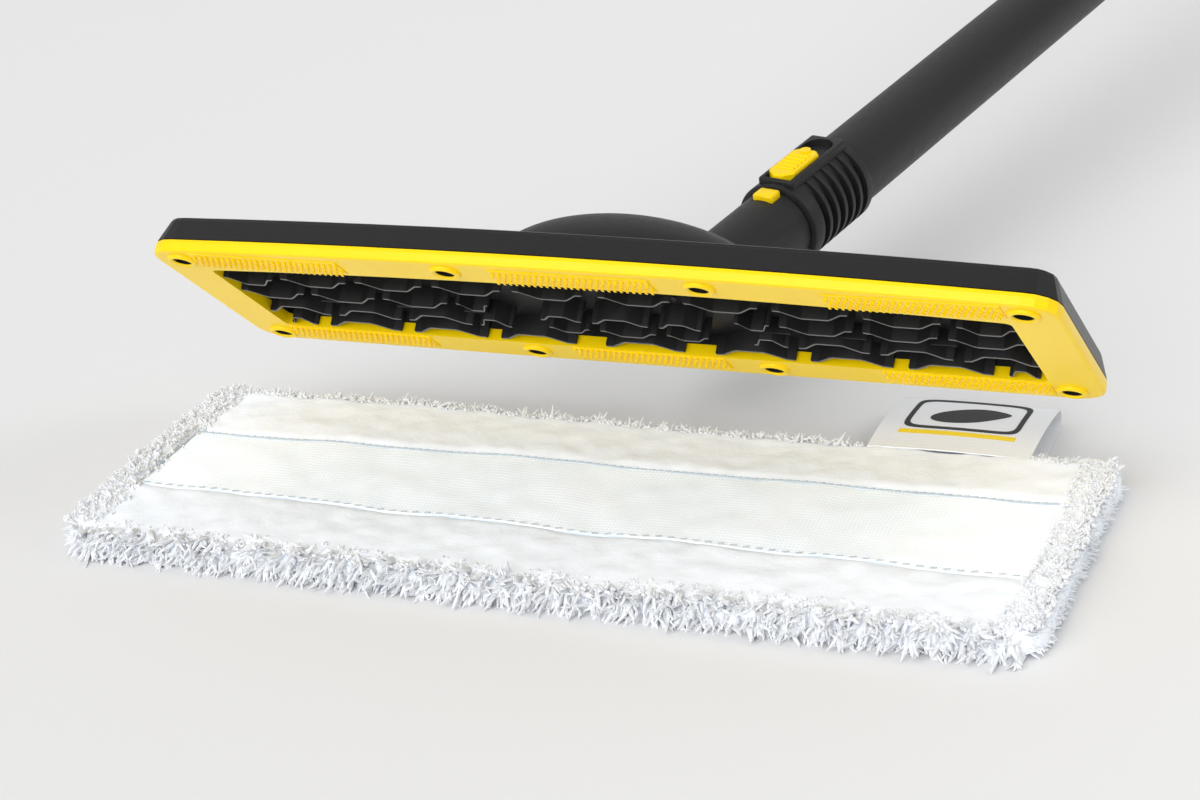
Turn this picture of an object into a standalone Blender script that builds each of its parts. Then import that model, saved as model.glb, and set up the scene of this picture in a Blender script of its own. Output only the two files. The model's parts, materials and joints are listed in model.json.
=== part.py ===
"""Floor head of a steam cleaner, with its swivel neck, extension tube and cleaning cloth.

The head is tilted above the cloth, as when the cloth is picked up or dropped. Five frames
carry the pieces: the tube and neck, the yoke, the head, the cloth and the latch slider.
The world origin is the centre of the tube's upper shoulder, and +Z is the floor's normal.
"""
import math

import bmesh
import bpy
from mathutils import Matrix, Vector

# Pose, in degrees
HEAD_PITCH = 42.0
NECK_LEAN = 42.7
NECK_SWIVEL = 12.8

# Gaps
GAP = 0.0003
PIN_GAP = 0.00015

# Sole frame and window
HEAD_LENGTH = 0.293
FAR_EDGE = 0.042
NEAR_EDGE = 0.0445
NEAR_BOW = 0.0065
CORNER_RADIUS = 0.010
RAIL = 0.016
FRAME_HEIGHT = 0.004
FRAME_EDGE = 0.0012
WINDOW_CORNER = 0.0025
WINDOW_WALL = 0.0016
WINDOW_WALL_TOP = 0.0070

# Hook fields
FIELD_OUTER = 0.0525
FIELD_CENTRE = 0.0260
FIELD_WIDTH = 0.0100
FIELD_RISE = 0.0003

# Screws through the frame
SCREW_INSET_X = 0.0105
SCREW_MIDDLE_X = 0.0410
SCREW_INSET_Y = 0.0082
BOSS_RADIUS = 0.0043
BOSS_RISE = 0.0008
SCREW_HEAD_RADIUS = 0.0026
SCREW_HEAD_HEIGHT = 0.0012
SCREW_SHANK_RADIUS = 0.0012
SCREW_SHANK_LENGTH = 0.0068
RECESS_FLOOR = 0.0024
POST_RADIUS = 0.0030

# Top shell
SHELL_TOP = 0.0130
SHELL_WALL = 0.0020
SHELL_SLOPE = 0.0030

# Dome and its opening in the shell
DOME_LENGTH = 0.096
DOME_WIDTH = 0.068
DOME_CENTRE_Y = 0.004
DOME_TOP = 0.0352
DOME_WALL = 0.0022
DOME_SKIRT_INSET = 0.0035
DOME_SKIRT_DEPTH = 0.0016

# Lamella insert
INSERT_THICKNESS = 0.0015
INSERT_LIP = 0.0030
LAMELLA_THICKNESS = 0.0013
LAMELLA_TIP = 0.0004
LAMELLA_BOW = 0.0058
STEAM_HOLE_X = 0.031
STEAM_HOLE_RADIUS = 0.0020

# Steam chamber under the dome
CHAMBER_LENGTH = 0.074
CHAMBER_WIDTH = 0.050
CHAMBER_HEIGHT = 0.0034
CHAMBER_ROOF = 0.0014
CAVITY_HALF_WIDTH = 0.0060
GASKET_THICKNESS = 0.0008
GASKET_WIDTH = 0.0016
LUG_THICKNESS = 0.0040
LUG_RADIUS = 0.0050
BRACKET_SCREW_X = 0.020
BRACKET_SCREW_Y = 0.0150
BRACKET_SCREW_LENGTH = 0.0042

# Pitch joint, across the head
PITCH_Y = 0.020
PITCH_Z = 0.016
PITCH_PIN_RADIUS = 0.0025
PITCH_HEAD_RADIUS = 0.0038
PITCH_HEAD_THICKNESS = 0.0010
YOKE_BARREL_RADIUS = 0.0062
YOKE_BARREL_LENGTH = 0.0160
PITCH_WASHER_THICKNESS = 0.0006

# Yoke arm and swivel joint
ARM_LENGTH = 0.0339
ARM_OFFSET = 0.0177
ARM_WIDTH = 0.0110
CHEEK_RADIUS = 0.0100
CHEEK_THICKNESS = 0.0055
SWIVEL_PIN_RADIUS = 0.0035
SWIVEL_HEAD_RADIUS = 0.0065
SWIVEL_HEAD_THICKNESS = 0.0018
SWIVEL_WASHER_THICKNESS = 0.0007
CAP_RADIUS = 0.0092
CAP_THICKNESS = 0.0052
CAP_TEETH = 30
CHANNEL_RADIUS = 0.0014

# Neck
TUBE_RADIUS = 0.0137
NECK_WALL = 0.0021
NECK_FLOOR = 0.0165
NECK_LENGTH = 0.0545
NECK_BARREL_RADIUS = 0.0132
BARREL_FRONT = 0.0120
BARREL_REAR = 0.0145
SPIGOT_RADIUS = 0.0104
SPIGOT_ROOT = 0.0080
STEAM_BORE = 0.0040
LUG_WIDTH = 0.0078
LUG_LENGTH = 0.0062
LUG_RISE = 0.0017

# Collar, the socket end of the extension tube
COLLAR_RADIUS = 0.0157
COLLAR_LENGTH = 0.0395
SOCKET_DEPTH = 0.0285
SOCKET_FLOOR = 0.0020
RIB_COUNT = 6
RIB_PITCH = 0.0052
RIB_GROOVE = 0.0031
RIB_DEPTH = 0.0024
GUIDE_WIDTH = 0.0142
GUIDE_RISE = 0.0014
GUIDE_RIM = 0.0018
GUIDE_DEPTH = 0.0023

# Latch slider
SLIDER_LENGTH = 0.0215
SLIDER_TRAVEL = 0.0045
SLIDER_RIDGES = 5
KNOB_RADIUS = 0.0024
SPRING_RADIUS = 0.0007
SPRING_WIRE = 0.0002
SPRING_TURNS = 7

# Extension tube
EXTENSION_LENGTH = 0.500
TUBE_WALL = 0.0017
STEAM_PIPE_RADIUS = 0.0036
STEAM_PIPE_WALL = 0.0008
UPPER_SPIGOT_ROOT = 0.012
SEAL_THICKNESS = 0.0016
O_RING_WIRE = 0.0009
SWIVEL_SEAL_WIRE = 0.0005

# Cloth
CLOTH_LENGTH = 0.318
CLOTH_WIDTH = 0.110
CLOTH_THICKNESS = 0.0075
CLOTH_CORNER = 0.006
CLOTH_EDGE = 0.0025
CLOTH_OFFSET_X = -0.009
CLOTH_OFFSET_Y = -0.0215
CLOTH_DROP = 0.0503
PANEL_LENGTH = 0.298
PANEL_WIDTH = 0.042
PANEL_THICKNESS = 0.0006
PANEL_OFFSET_Y = 0.0015
PEEL_GAP = 0.0020
TAB_WIDTH = 0.052
TAB_LENGTH = 0.036
TAB_X = 0.103
TAB_LAYER = 0.0008
TAB_OPENING = 0.0022

ROUND_STEPS = 28
PIN_STEPS = 20
SCREW_STEPS = 10
SMALL_STEPS = 10
SEAL_STEPS = 6
OVAL_STEPS = 36
SMOOTH_ANGLE = math.radians(35)

BLACK = (0.020, 0.020, 0.021)
YELLOW = (1.0, 0.76, 0.0)
STEEL = (0.55, 0.55, 0.56)
RUBBER = (0.012, 0.012, 0.012)
WHITE = (0.88, 0.89, 0.90)
NATURAL = (0.70, 0.69, 0.65)

# Places along the neck's axis, from the swivel pin
RIM_Z = NECK_LENGTH + GAP
COLLAR_END_Z = RIM_Z + COLLAR_LENGTH
SHOULDER_Z = RIM_Z + EXTENSION_LENGTH

# The spigot stops short of the seal at the bottom of the socket
SPIGOT_LENGTH = SOCKET_DEPTH - SEAL_THICKNESS - 4 * GAP

# Heights in the head
INSERT_BASE_Z = WINDOW_WALL_TOP + GAP
INSERT_TOP_Z = INSERT_BASE_Z + INSERT_THICKNESS
GASKET_Z = INSERT_TOP_Z + GAP
CHAMBER_Z = GASKET_Z + GASKET_THICKNESS + GAP
CHAMBER_TOP_Z = CHAMBER_Z + CHAMBER_HEIGHT


def remove_everything():
    for item in list(bpy.data.objects):
        bpy.data.objects.remove(item)


def new_collection(name):
    collection = bpy.data.collections.new(name)
    bpy.context.scene.collection.children.link(collection)
    return collection


def turn(angle, axis):
    return Matrix.Rotation(angle, 4, axis)


def shift(x, y, z):
    return Matrix.Translation((x, y, z))


def frame_matrices():
    """World matrices of the head, the yoke and the neck, with the shoulder at the origin."""
    head = turn(-math.radians(HEAD_PITCH), "X")
    yoke = head @ shift(0, PITCH_Y, PITCH_Z) @ turn(-math.radians(NECK_LEAN), "X")
    swivel = shift(0, ARM_OFFSET, ARM_LENGTH) @ turn(math.radians(NECK_SWIVEL), "Y")
    neck = yoke @ swivel
    shoulder = neck @ Vector((0, 0, SHOULDER_Z))
    move = Matrix.Translation(-shoulder)
    return move @ head, move @ yoke, move @ neck


def cloth_matrix(head):
    sole = head @ Vector((0, 0, 0))
    return shift(sole.x + CLOTH_OFFSET_X, sole.y + CLOTH_OFFSET_Y, sole.z - CLOTH_DROP)


def peel_pivot(head):
    """The line about which the cloth's top turns to lie PEEL_GAP off the sole."""
    sole = head @ Vector((0, 0, 0))
    angle = math.radians(HEAD_PITCH)
    reach = (CLOTH_DROP * math.cos(angle) - PEEL_GAP) / math.sin(angle)
    return Vector((sole.x, sole.y + reach, sole.z - CLOTH_DROP))


def new_material(name, color, roughness, metallic=0.0):
    material = bpy.data.materials.new(name)
    material.use_nodes = True
    shader = material.node_tree.nodes["Principled BSDF"]
    shader.inputs["Base Color"].default_value = (*color, 1.0)
    shader.inputs["Roughness"].default_value = roughness
    shader.inputs["Metallic"].default_value = metallic
    return material


class Frame:
    """An empty on a joint's axis, and the matrix in which its pieces are drawn."""

    def __init__(self, name, matrix, pivot):
        self.empty = bpy.data.objects.new(name, None)
        self.empty.matrix_world = Matrix.Translation(pivot)
        self.local = Matrix.Translation(-pivot) @ matrix
        GUIDES.objects.link(self.empty)

    def place(self, item, matrix=None):
        item.parent = self.empty
        item.matrix_local = self.local @ (matrix or Matrix())


def finish_mesh(bm, name):
    bmesh.ops.recalc_face_normals(bm, faces=bm.faces)
    mesh = bpy.data.meshes.new(name)
    bm.to_mesh(mesh)
    bm.free()
    mesh.shade_smooth()
    mesh.set_sharp_from_angle(angle=SMOOTH_ANGLE)
    return mesh


def part(name, bm, frame, look, matrix=None):
    """A named sub-part from a bmesh drawn in a frame, with its own material."""
    item = bpy.data.objects.new(name, finish_mesh(bm, name))
    item.data.materials.append(new_material(name, *look))
    PARTS.objects.link(item)
    frame.place(item, matrix)
    return item


def cutter(bm, frame, matrix=None):
    item = bpy.data.objects.new("cutter", finish_mesh(bm, "cutter"))
    item.hide_render = True
    item.display_type = "WIRE"
    CUTTERS.objects.link(item)
    frame.place(item, matrix)
    return item


def combine(item, tool, operation="DIFFERENCE"):
    modifier = item.modifiers.new(operation.title(), "BOOLEAN")
    modifier.operation = operation
    modifier.solver = "EXACT"
    modifier.object = tool


def turned(name, profile, frame, look, matrix=None, steps=ROUND_STEPS):
    """A piece turned about Z; the profile's radii and heights run down its outer side."""
    mesh = bpy.data.meshes.new(name)
    closed = profile[0][0] > 0 and profile[-1][0] > 0
    edges = [(i, i + 1) for i in range(len(profile) - 1)]
    if closed:
        edges.append((len(profile) - 1, 0))
    mesh.from_pydata([(radius, 0, height) for radius, height in profile], edges, [])
    item = bpy.data.objects.new(name, mesh)
    mesh.materials.append(new_material(name, *look))
    PARTS.objects.link(item)
    screw = item.modifiers.new("Turn", "SCREW")
    screw.axis = "Z"
    screw.steps = steps
    screw.render_steps = steps
    screw.use_merge_vertices = True
    screw.merge_threshold = 0.00001
    screw.use_smooth_shade = False
    frame.place(item, matrix)
    return item


def ring(name, outer, inner, low, high, frame, look, matrix=None):
    profile = [(outer, high), (outer, low), (inner, low), (inner, high)]
    return turned(name, profile, frame, look, matrix)


def seal_groove(radius, wire):
    """Floor radius of a groove that takes a round seal of the given wire radius."""
    return radius - 2 * wire - PIN_GAP


def o_ring(name, radius, wire, frame, matrix):
    """A round-section seal in the groove of a cylinder of the given radius."""
    centre = seal_groove(radius, wire) + PIN_GAP + wire
    profile = []
    for step in range(SEAL_STEPS):
        angle = -2 * math.pi * step / SEAL_STEPS
        profile.append((centre + wire * math.cos(angle), wire * math.sin(angle)))
    return turned(name, profile, frame, (RUBBER, 0.60), matrix, PIN_STEPS)


def add_cylinder(bm, radius, low, high, matrix=None, top_radius=None, segments=ROUND_STEPS):
    middle = shift(0, 0, (low + high) / 2)
    bmesh.ops.create_cone(
        bm,
        cap_ends=True,
        segments=segments,
        radius1=radius,
        radius2=radius if top_radius is None else top_radius,
        depth=high - low,
        matrix=(matrix or Matrix()) @ middle,
    )


def add_box(bm, low, high, matrix=None, edge=0.0):
    """A box between two corners, with its edges rounded by edge."""
    low = Vector(low)
    high = Vector(high)
    size = high - low
    place = Matrix.Translation((low + high) / 2) @ Matrix.Diagonal((*size, 1))
    made = bmesh.ops.create_cube(bm, size=1.0, matrix=(matrix or Matrix()) @ place)
    if edge:
        edges = list({side for vert in made["verts"] for side in vert.link_edges})
        bmesh.ops.bevel(bm, geom=edges, offset=edge, segments=2, profile=0.5, affect="EDGES")


def loft(rings):
    """A closed solid through rings of points with equal counts, lowest first."""
    bm = bmesh.new()
    add_loft(bm, rings)
    return bm


def add_loft(bm, rings):
    rows = [[bm.verts.new(point) for point in points] for points in rings]
    for lower, upper in zip(rows, rows[1:]):
        for index in range(len(lower)):
            after = (index + 1) % len(lower)
            bm.faces.new((lower[index], lower[after], upper[after], upper[index]))
    bm.faces.new(list(reversed(rows[0])))
    bm.faces.new(rows[-1])


def arc(centre_x, centre_y, radius, start, steps=4):
    """Points of a quarter circle from the start angle, in degrees, anticlockwise."""
    points = []
    for step in range(steps + 1):
        angle = math.radians(start + 90 * step / steps)
        points.append((centre_x + radius * math.cos(angle), centre_y + radius * math.sin(angle)))
    return points


def near_edge_y(x, half, near, bow):
    return -near - bow * (1 - (x / half) ** 2)


def plate(half, far, near, bow, radius, inset):
    """The head's outline: straight far edge and ends, and a near edge bowed outward."""
    half -= inset
    far -= inset
    near -= inset
    radius = max(radius - inset, GAP)
    bend = half - radius
    low = near_edge_y(bend, half, near, bow) + radius
    points = arc(bend, far - radius, radius, 0) + arc(-bend, far - radius, radius, 90)
    points += arc(-bend, low, radius, 180)
    steps = 12
    for step in range(1, steps):
        x = -bend + 2 * bend * step / steps
        points.append((x, near_edge_y(x, half, near, bow)))
    points += arc(bend, low, radius, 270)
    return points


def head_outline(inset):
    return plate(HEAD_LENGTH / 2, FAR_EDGE, NEAR_EDGE, NEAR_BOW, CORNER_RADIUS, inset)


def window_outline(inset):
    radius = WINDOW_CORNER if inset >= 0 else WINDOW_CORNER - inset
    half = HEAD_LENGTH / 2 - RAIL
    return plate(half, FAR_EDGE - RAIL, NEAR_EDGE - RAIL, NEAR_BOW, radius, inset)


def at_height(points, height):
    return [(x, y, height) for x, y in points]


def oval(length, width, height, centre_y=0.0, steps=OVAL_STEPS):
    points = []
    for step in range(steps):
        angle = 2 * math.pi * step / steps
        points.append((length / 2 * math.cos(angle), centre_y + width / 2 * math.sin(angle), height))
    return points


def stadium(half_length, half_width, height, steps=12):
    """A slot outline along X, its ends half circles."""
    points = []
    for centre, start in ((half_length - half_width, -90), (half_width - half_length, 90)):
        for step in range(steps + 1):
            angle = math.radians(start + 180 * step / steps)
            x = centre + half_width * math.cos(angle)
            points.append((x, half_width * math.sin(angle), height))
    return points


def screw_places():
    """Centres of the eight screws through the sole frame."""
    corner = HEAD_LENGTH / 2 - SCREW_INSET_X
    far = FAR_EDGE - SCREW_INSET_Y
    places = []
    for x in (-corner, -SCREW_MIDDLE_X, SCREW_MIDDLE_X, corner):
        places.append((x, far))
        edge = near_edge_y(x, HEAD_LENGTH / 2, NEAR_EDGE, NEAR_BOW)
        places.append((x, edge + SCREW_INSET_Y))
    return places


def field_boxes():
    """Corner pairs of the six raised hook fields, three on each long rail."""
    outer = HEAD_LENGTH / 2 - RAIL
    spans = (
        (-outer, -outer + FIELD_OUTER),
        (-FIELD_CENTRE, FIELD_CENTRE),
        (outer - FIELD_OUTER, outer),
    )
    boxes = []
    for low, high in spans:
        far = FAR_EDGE - RAIL + WINDOW_WALL
        boxes.append(((low, far), (high, far + FIELD_WIDTH)))
        reach = min(abs(low), abs(high)) if low * high > 0 else 0.0
        near = near_edge_y(reach, outer, NEAR_EDGE - RAIL, NEAR_BOW) - WINDOW_WALL
        boxes.append(((low, near - FIELD_WIDTH), (high, near)))
    return boxes


def make_sole_frame(head):
    levels = (
        (0.0, FRAME_EDGE),
        (FRAME_EDGE * 0.3, FRAME_EDGE * 0.3),
        (FRAME_EDGE, 0.0),
        (FRAME_HEIGHT * 0.7, 0.0),
        (FRAME_HEIGHT, GAP),
    )
    item = part(
        "sole_frame",
        loft([at_height(head_outline(inset), height) for height, inset in levels]),
        head,
        (YELLOW, 0.30),
    )
    wall_low = FRAME_HEIGHT / 2
    wall = loft([at_height(window_outline(-WINDOW_WALL), z) for z in (wall_low, WINDOW_WALL_TOP)])
    combine(item, cutter(wall, head), "UNION")
    bosses = bmesh.new()
    for x, y in screw_places():
        add_cylinder(bosses, BOSS_RADIUS, -BOSS_RISE, wall_low, shift(x, y, 0), segments=SMALL_STEPS)
    combine(item, cutter(bosses, head), "UNION")
    fields = bmesh.new()
    for low, high in field_boxes():
        add_box(fields, (*low, -FIELD_RISE), (*high, wall_low))
    combine(item, cutter(fields, head), "UNION")
    opening = [at_height(window_outline(0), z) for z in (-BOSS_RISE - GAP, WINDOW_WALL_TOP + GAP)]
    combine(item, cutter(loft(opening), head))
    recess = SCREW_HEAD_RADIUS + GAP
    holes = bmesh.new()
    for x, y in screw_places():
        place = shift(x, y, 0)
        add_cylinder(holes, recess + BOSS_RISE, -BOSS_RISE - GAP, RECESS_FLOOR, place, recess, SMALL_STEPS)
    combine(item, cutter(holes, head))
    shanks = bmesh.new()
    for x, y in screw_places():
        radius = SCREW_SHANK_RADIUS + GAP
        add_cylinder(shanks, radius, RECESS_FLOOR - GAP, FRAME_HEIGHT + GAP, shift(x, y, 0), None, SMALL_STEPS)
    combine(item, cutter(shanks, head))


def make_screw(name, frame, matrix, head_radius, shank_length):
    """A pan-head screw with a six-sided recess, its seat at the origin and its shank along +Z."""
    edge = head_radius * 0.8
    profile = [
        (0.0, shank_length),
        (SCREW_SHANK_RADIUS * 0.6, shank_length),
        (SCREW_SHANK_RADIUS, shank_length - SCREW_SHANK_RADIUS * 0.4),
        (SCREW_SHANK_RADIUS, 0.0),
        (head_radius, 0.0),
        (head_radius, -SCREW_HEAD_HEIGHT * 0.5),
        (edge, -SCREW_HEAD_HEIGHT),
        (0.0, -SCREW_HEAD_HEIGHT),
    ]
    item = turned(name, profile, frame, (STEEL, 0.45, 1.0), matrix, SCREW_STEPS)
    recess = bmesh.new()
    add_cylinder(recess, head_radius * 0.45, -SCREW_HEAD_HEIGHT - GAP, -SCREW_HEAD_HEIGHT / 2, None, None, 6)
    combine(item, cutter(recess, frame, matrix))


def make_sole_screws(head):
    for index, (x, y) in enumerate(screw_places()):
        place = shift(x, y, RECESS_FLOOR - GAP)
        make_screw(f"sole_screw_{index + 1}", head, place, SCREW_HEAD_RADIUS, SCREW_SHANK_LENGTH)


def make_top_shell(head):
    base = FRAME_HEIGHT + GAP
    levels = (
        (base, 0.0),
        (SHELL_TOP - 0.0016, SHELL_SLOPE * 0.85),
        (SHELL_TOP - 0.0005, SHELL_SLOPE * 1.05),
        (SHELL_TOP, SHELL_SLOPE * 1.4),
    )
    rings = [at_height(head_outline(inset + GAP), height) for height, inset in levels]
    item = part("top_shell", loft(rings), head, (BLACK, 0.45))
    ceiling = SHELL_TOP - SHELL_WALL
    hollow = (
        (base - GAP, SHELL_WALL),
        (ceiling, SHELL_WALL + SHELL_SLOPE * 0.9),
    )
    inside = loft([at_height(head_outline(inset), height) for height, inset in hollow])
    posts = bmesh.new()
    for x, y in screw_places():
        add_cylinder(posts, POST_RADIUS, base, SHELL_TOP - SHELL_WALL / 2, shift(x, y, 0), None, SMALL_STEPS)
    combine(item, cutter(inside, head))
    combine(item, cutter(posts, head), "UNION")
    pilots = bmesh.new()
    depth = RECESS_FLOOR + SCREW_SHANK_LENGTH + GAP
    for x, y in screw_places():
        radius = SCREW_SHANK_RADIUS + PIN_GAP
        add_cylinder(pilots, radius, base - GAP, depth, shift(x, y, 0), None, SMALL_STEPS)
    combine(item, cutter(pilots, head))
    length = DOME_LENGTH - 2 * DOME_SKIRT_INSET + 2 * GAP
    width = DOME_WIDTH - 2 * DOME_SKIRT_INSET + 2 * GAP
    heights = (ceiling - GAP, SHELL_TOP + GAP)
    opening = loft([oval(length, width, z, DOME_CENTRE_Y) for z in heights])
    combine(item, cutter(opening, head))


def dome_rings(length, width, low, top, steps=7):
    """Ovals that shrink upward along a quarter of an ellipse."""
    rings = []
    for step in range(steps):
        angle = math.radians(88) * step / (steps - 1)
        shrink = math.cos(angle)
        height = low + (top - low) * math.sin(angle)
        rings.append(oval(length * shrink, width * shrink, height, DOME_CENTRE_Y))
    return rings


def make_dome(head):
    seat = SHELL_TOP + GAP
    item = part(
        "joint_dome",
        loft(dome_rings(DOME_LENGTH, DOME_WIDTH, seat, DOME_TOP)),
        head,
        (BLACK, 0.60),
    )
    skirt_length = DOME_LENGTH - 2 * DOME_SKIRT_INSET
    skirt_width = DOME_WIDTH - 2 * DOME_SKIRT_INSET
    heights = (seat - DOME_SKIRT_DEPTH, seat + DOME_WALL / 2)
    skirt = loft([oval(skirt_length, skirt_width, z, DOME_CENTRE_Y) for z in heights])
    combine(item, cutter(skirt, head), "UNION")
    inner_length = skirt_length - 2 * DOME_WALL
    inner_width = skirt_width - 2 * DOME_WALL
    hollow = [oval(inner_length, inner_width, heights[0] - GAP, DOME_CENTRE_Y)]
    hollow += dome_rings(inner_length, inner_width, seat, DOME_TOP - DOME_WALL)
    combine(item, cutter(loft(hollow), head))
    slot = bmesh.new()
    half = ARM_WIDTH / 2 + 0.0010
    front = PITCH_Y - YOKE_BARREL_RADIUS
    add_box(slot, (-half, front, heights[0] - GAP), (half, FAR_EDGE, DOME_TOP))
    combine(item, cutter(slot, head))


def lamella_spans(half):
    """Each wall as its two ends in x, its y, its bow and its tip height, on the +X side."""
    end = half - GAP
    pitch = 0.0275
    near_y = -NEAR_EDGE + RAIL + 0.009
    walls = []
    start = 0.0025
    while start + 0.010 < end:
        x_end = min(start + 0.0235, end)
        middle = (start + x_end) / 2
        y = near_y - NEAR_BOW * (1 - (middle / half) ** 2)
        walls.append((start, x_end, y, LAMELLA_BOW))
        start += pitch
    start = end
    length = 0.0245
    while start > 0.050:
        bow_y = 0.0015 * (start / half) ** 2
        walls.append((start - length, start, -0.0095 + bow_y, LAMELLA_BOW))
        walls.append((start - length, start, 0.0112 + bow_y, -LAMELLA_BOW))
        start -= length + 0.0035
        length = 0.0220
    far_y = FAR_EDGE - RAIL - 0.0012
    start = 0.0240
    corner = half - WINDOW_CORNER
    while start + 0.008 < corner:
        x_end = min(start + 0.0265, corner)
        walls.append((start, x_end, far_y, -LAMELLA_BOW))
        start += 0.0315
    walls.append((0.0130, 0.0270, 0.0085, 0.0040))
    walls.append((0.0130, 0.0270, 0.0010, -0.0040))
    return walls


def wall_outline(low, high, y, bow):
    """A wall bowed in plan between two ends, in four straight steps."""
    shares = ((0.0, 0.0), (0.36, 0.9), (0.64, 0.9), (1.0, 0.0))
    centre = [(low + (high - low) * share, y + bow * rise) for share, rise in shares]
    half = LAMELLA_THICKNESS / 2
    outer = [(x, y_at + half) for x, y_at in reversed(centre)]
    inner = [(x, y_at - half) for x, y_at in centre]
    return inner + outer


def chamber_screw_places():
    places = []
    for x in (-BRACKET_SCREW_X, BRACKET_SCREW_X):
        for y in (-BRACKET_SCREW_Y, BRACKET_SCREW_Y):
            places.append((x, DOME_CENTRE_Y + y))
    return places


def make_lamella_insert(head):
    lip = [at_height(window_outline(-INSERT_LIP), z) for z in (INSERT_BASE_Z, INSERT_TOP_Z)]
    item = part("lamella_insert", loft(lip), head, (BLACK, 0.50))
    root = (INSERT_BASE_Z + INSERT_TOP_Z) / 2
    walls = bmesh.new()
    half = HEAD_LENGTH / 2 - RAIL
    spans = lamella_spans(half)
    spans += [(-high, -low, y, bow) for low, high, y, bow in spans]
    spans.append((-0.0095, 0.0095, 0.0085, 0.0045))
    spans.append((-0.0095, 0.0095, 0.0010, -0.0045))
    middle_y = FAR_EDGE - RAIL - 0.0012
    spans.append((-0.0135, 0.0135, middle_y, -LAMELLA_BOW))
    for low, high, y, bow in spans:
        outline = wall_outline(low, high, y, bow)
        add_loft(walls, [at_height(outline, z) for z in (LAMELLA_TIP, root)])
    combine(item, cutter(walls, head), "UNION")
    holes = bmesh.new()
    for side in (-1, 1):
        place = shift(side * STEAM_HOLE_X, STEAM_HOLE_RADIUS, 0)
        add_cylinder(holes, STEAM_HOLE_RADIUS, INSERT_BASE_Z - GAP, INSERT_TOP_Z + GAP, place, None, SMALL_STEPS)
    for x, y in chamber_screw_places():
        radius = SCREW_SHANK_RADIUS + GAP
        low, high = INSERT_BASE_Z - GAP, INSERT_TOP_Z + GAP
        add_cylinder(holes, radius, low, high, shift(x, y, 0), None, SMALL_STEPS)
    combine(item, cutter(holes, head))


def make_gasket(head):
    length = STEAM_HOLE_X + STEAM_HOLE_RADIUS + GASKET_WIDTH + GAP
    width = CAVITY_HALF_WIDTH + GASKET_WIDTH
    heights = (GASKET_Z, GASKET_Z + GASKET_THICKNESS)
    item = part(
        "chamber_gasket",
        loft([stadium(length, width, z) for z in heights]),
        head,
        (RUBBER, 0.70),
    )
    hole = (GASKET_Z - GAP, GASKET_Z + GASKET_THICKNESS + GAP)
    inner = loft([stadium(length - GASKET_WIDTH, width - GASKET_WIDTH, z) for z in hole])
    combine(item, cutter(inner, head))


def make_steam_chamber(head):
    heights = (CHAMBER_Z, CHAMBER_TOP_Z)
    rings = [oval(CHAMBER_LENGTH, CHAMBER_WIDTH, z, DOME_CENTRE_Y) for z in heights]
    item = part("steam_chamber", loft(rings), head, (BLACK, 0.55))
    inner = YOKE_BARREL_LENGTH / 2 + PITCH_WASHER_THICKNESS + 2 * GAP
    cross = shift(0, PITCH_Y, PITCH_Z) @ turn(math.pi / 2, "Y")
    lugs = bmesh.new()
    for side in (-1, 1):
        low, high = sorted((side * inner, side * (inner + LUG_THICKNESS)))
        add_cylinder(lugs, LUG_RADIUS, low, high, cross)
    combine(item, cutter(lugs, head), "UNION")
    feet = bmesh.new()
    for side in (-1, 1):
        low, high = sorted((side * inner, side * (inner + LUG_THICKNESS)))
        foot_low = (low + GAP / 10, PITCH_Y - LUG_RADIUS * 1.6, CHAMBER_Z + GAP)
        foot_high = (high - GAP / 10, PITCH_Y + LUG_RADIUS * 0.2, PITCH_Z)
        add_box(feet, foot_low, foot_high)
    combine(item, cutter(feet, head), "UNION")
    reach = STEAM_HOLE_X + STEAM_HOLE_RADIUS + 2 * GAP
    heights = (CHAMBER_Z - GAP, CHAMBER_TOP_Z - CHAMBER_ROOF)
    cavity = loft([stadium(reach, CAVITY_HALF_WIDTH, z) for z in heights])
    combine(item, cutter(cavity, head))
    bore = bmesh.new()
    reach = inner + LUG_THICKNESS + GAP
    add_cylinder(bore, PITCH_PIN_RADIUS + PIN_GAP, -reach, reach, cross)
    combine(item, cutter(bore, head))
    room = bmesh.new()
    half = inner - GAP / 10
    add_cylinder(room, YOKE_BARREL_RADIUS + 2 * GAP, -half, half, cross)
    low = inner + LUG_THICKNESS + GAP / 10
    high = low + 2 * PITCH_HEAD_THICKNESS + 4 * GAP
    for start, end in ((low, high), (-high, -low)):
        add_cylinder(room, PITCH_HEAD_RADIUS + 2 * GAP, start, end, cross)
    combine(item, cutter(room, head))
    pilots = bmesh.new()
    top = INSERT_BASE_Z + BRACKET_SCREW_LENGTH + GAP
    for x, y in chamber_screw_places():
        radius = SCREW_SHANK_RADIUS + PIN_GAP
        add_cylinder(pilots, radius, CHAMBER_Z - GAP, top, shift(x, y, 0), None, SMALL_STEPS)
    combine(item, cutter(pilots, head))
    duct = bmesh.new()
    middle = inner + LUG_THICKNESS / 2
    place = shift(middle, PITCH_Y, PITCH_Z) @ turn(math.radians(125), "X")
    add_cylinder(duct, CHANNEL_RADIUS * 0.8, 0.0, 0.0205, place, None, SMALL_STEPS)
    combine(item, cutter(duct, head))


def make_chamber_screws(head):
    head_radius = SCREW_HEAD_RADIUS * 0.8
    for index, (x, y) in enumerate(chamber_screw_places()):
        place = shift(x, y, INSERT_BASE_Z - GAP)
        make_screw(f"chamber_screw_{index + 1}", head, place, head_radius, BRACKET_SCREW_LENGTH)


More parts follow.
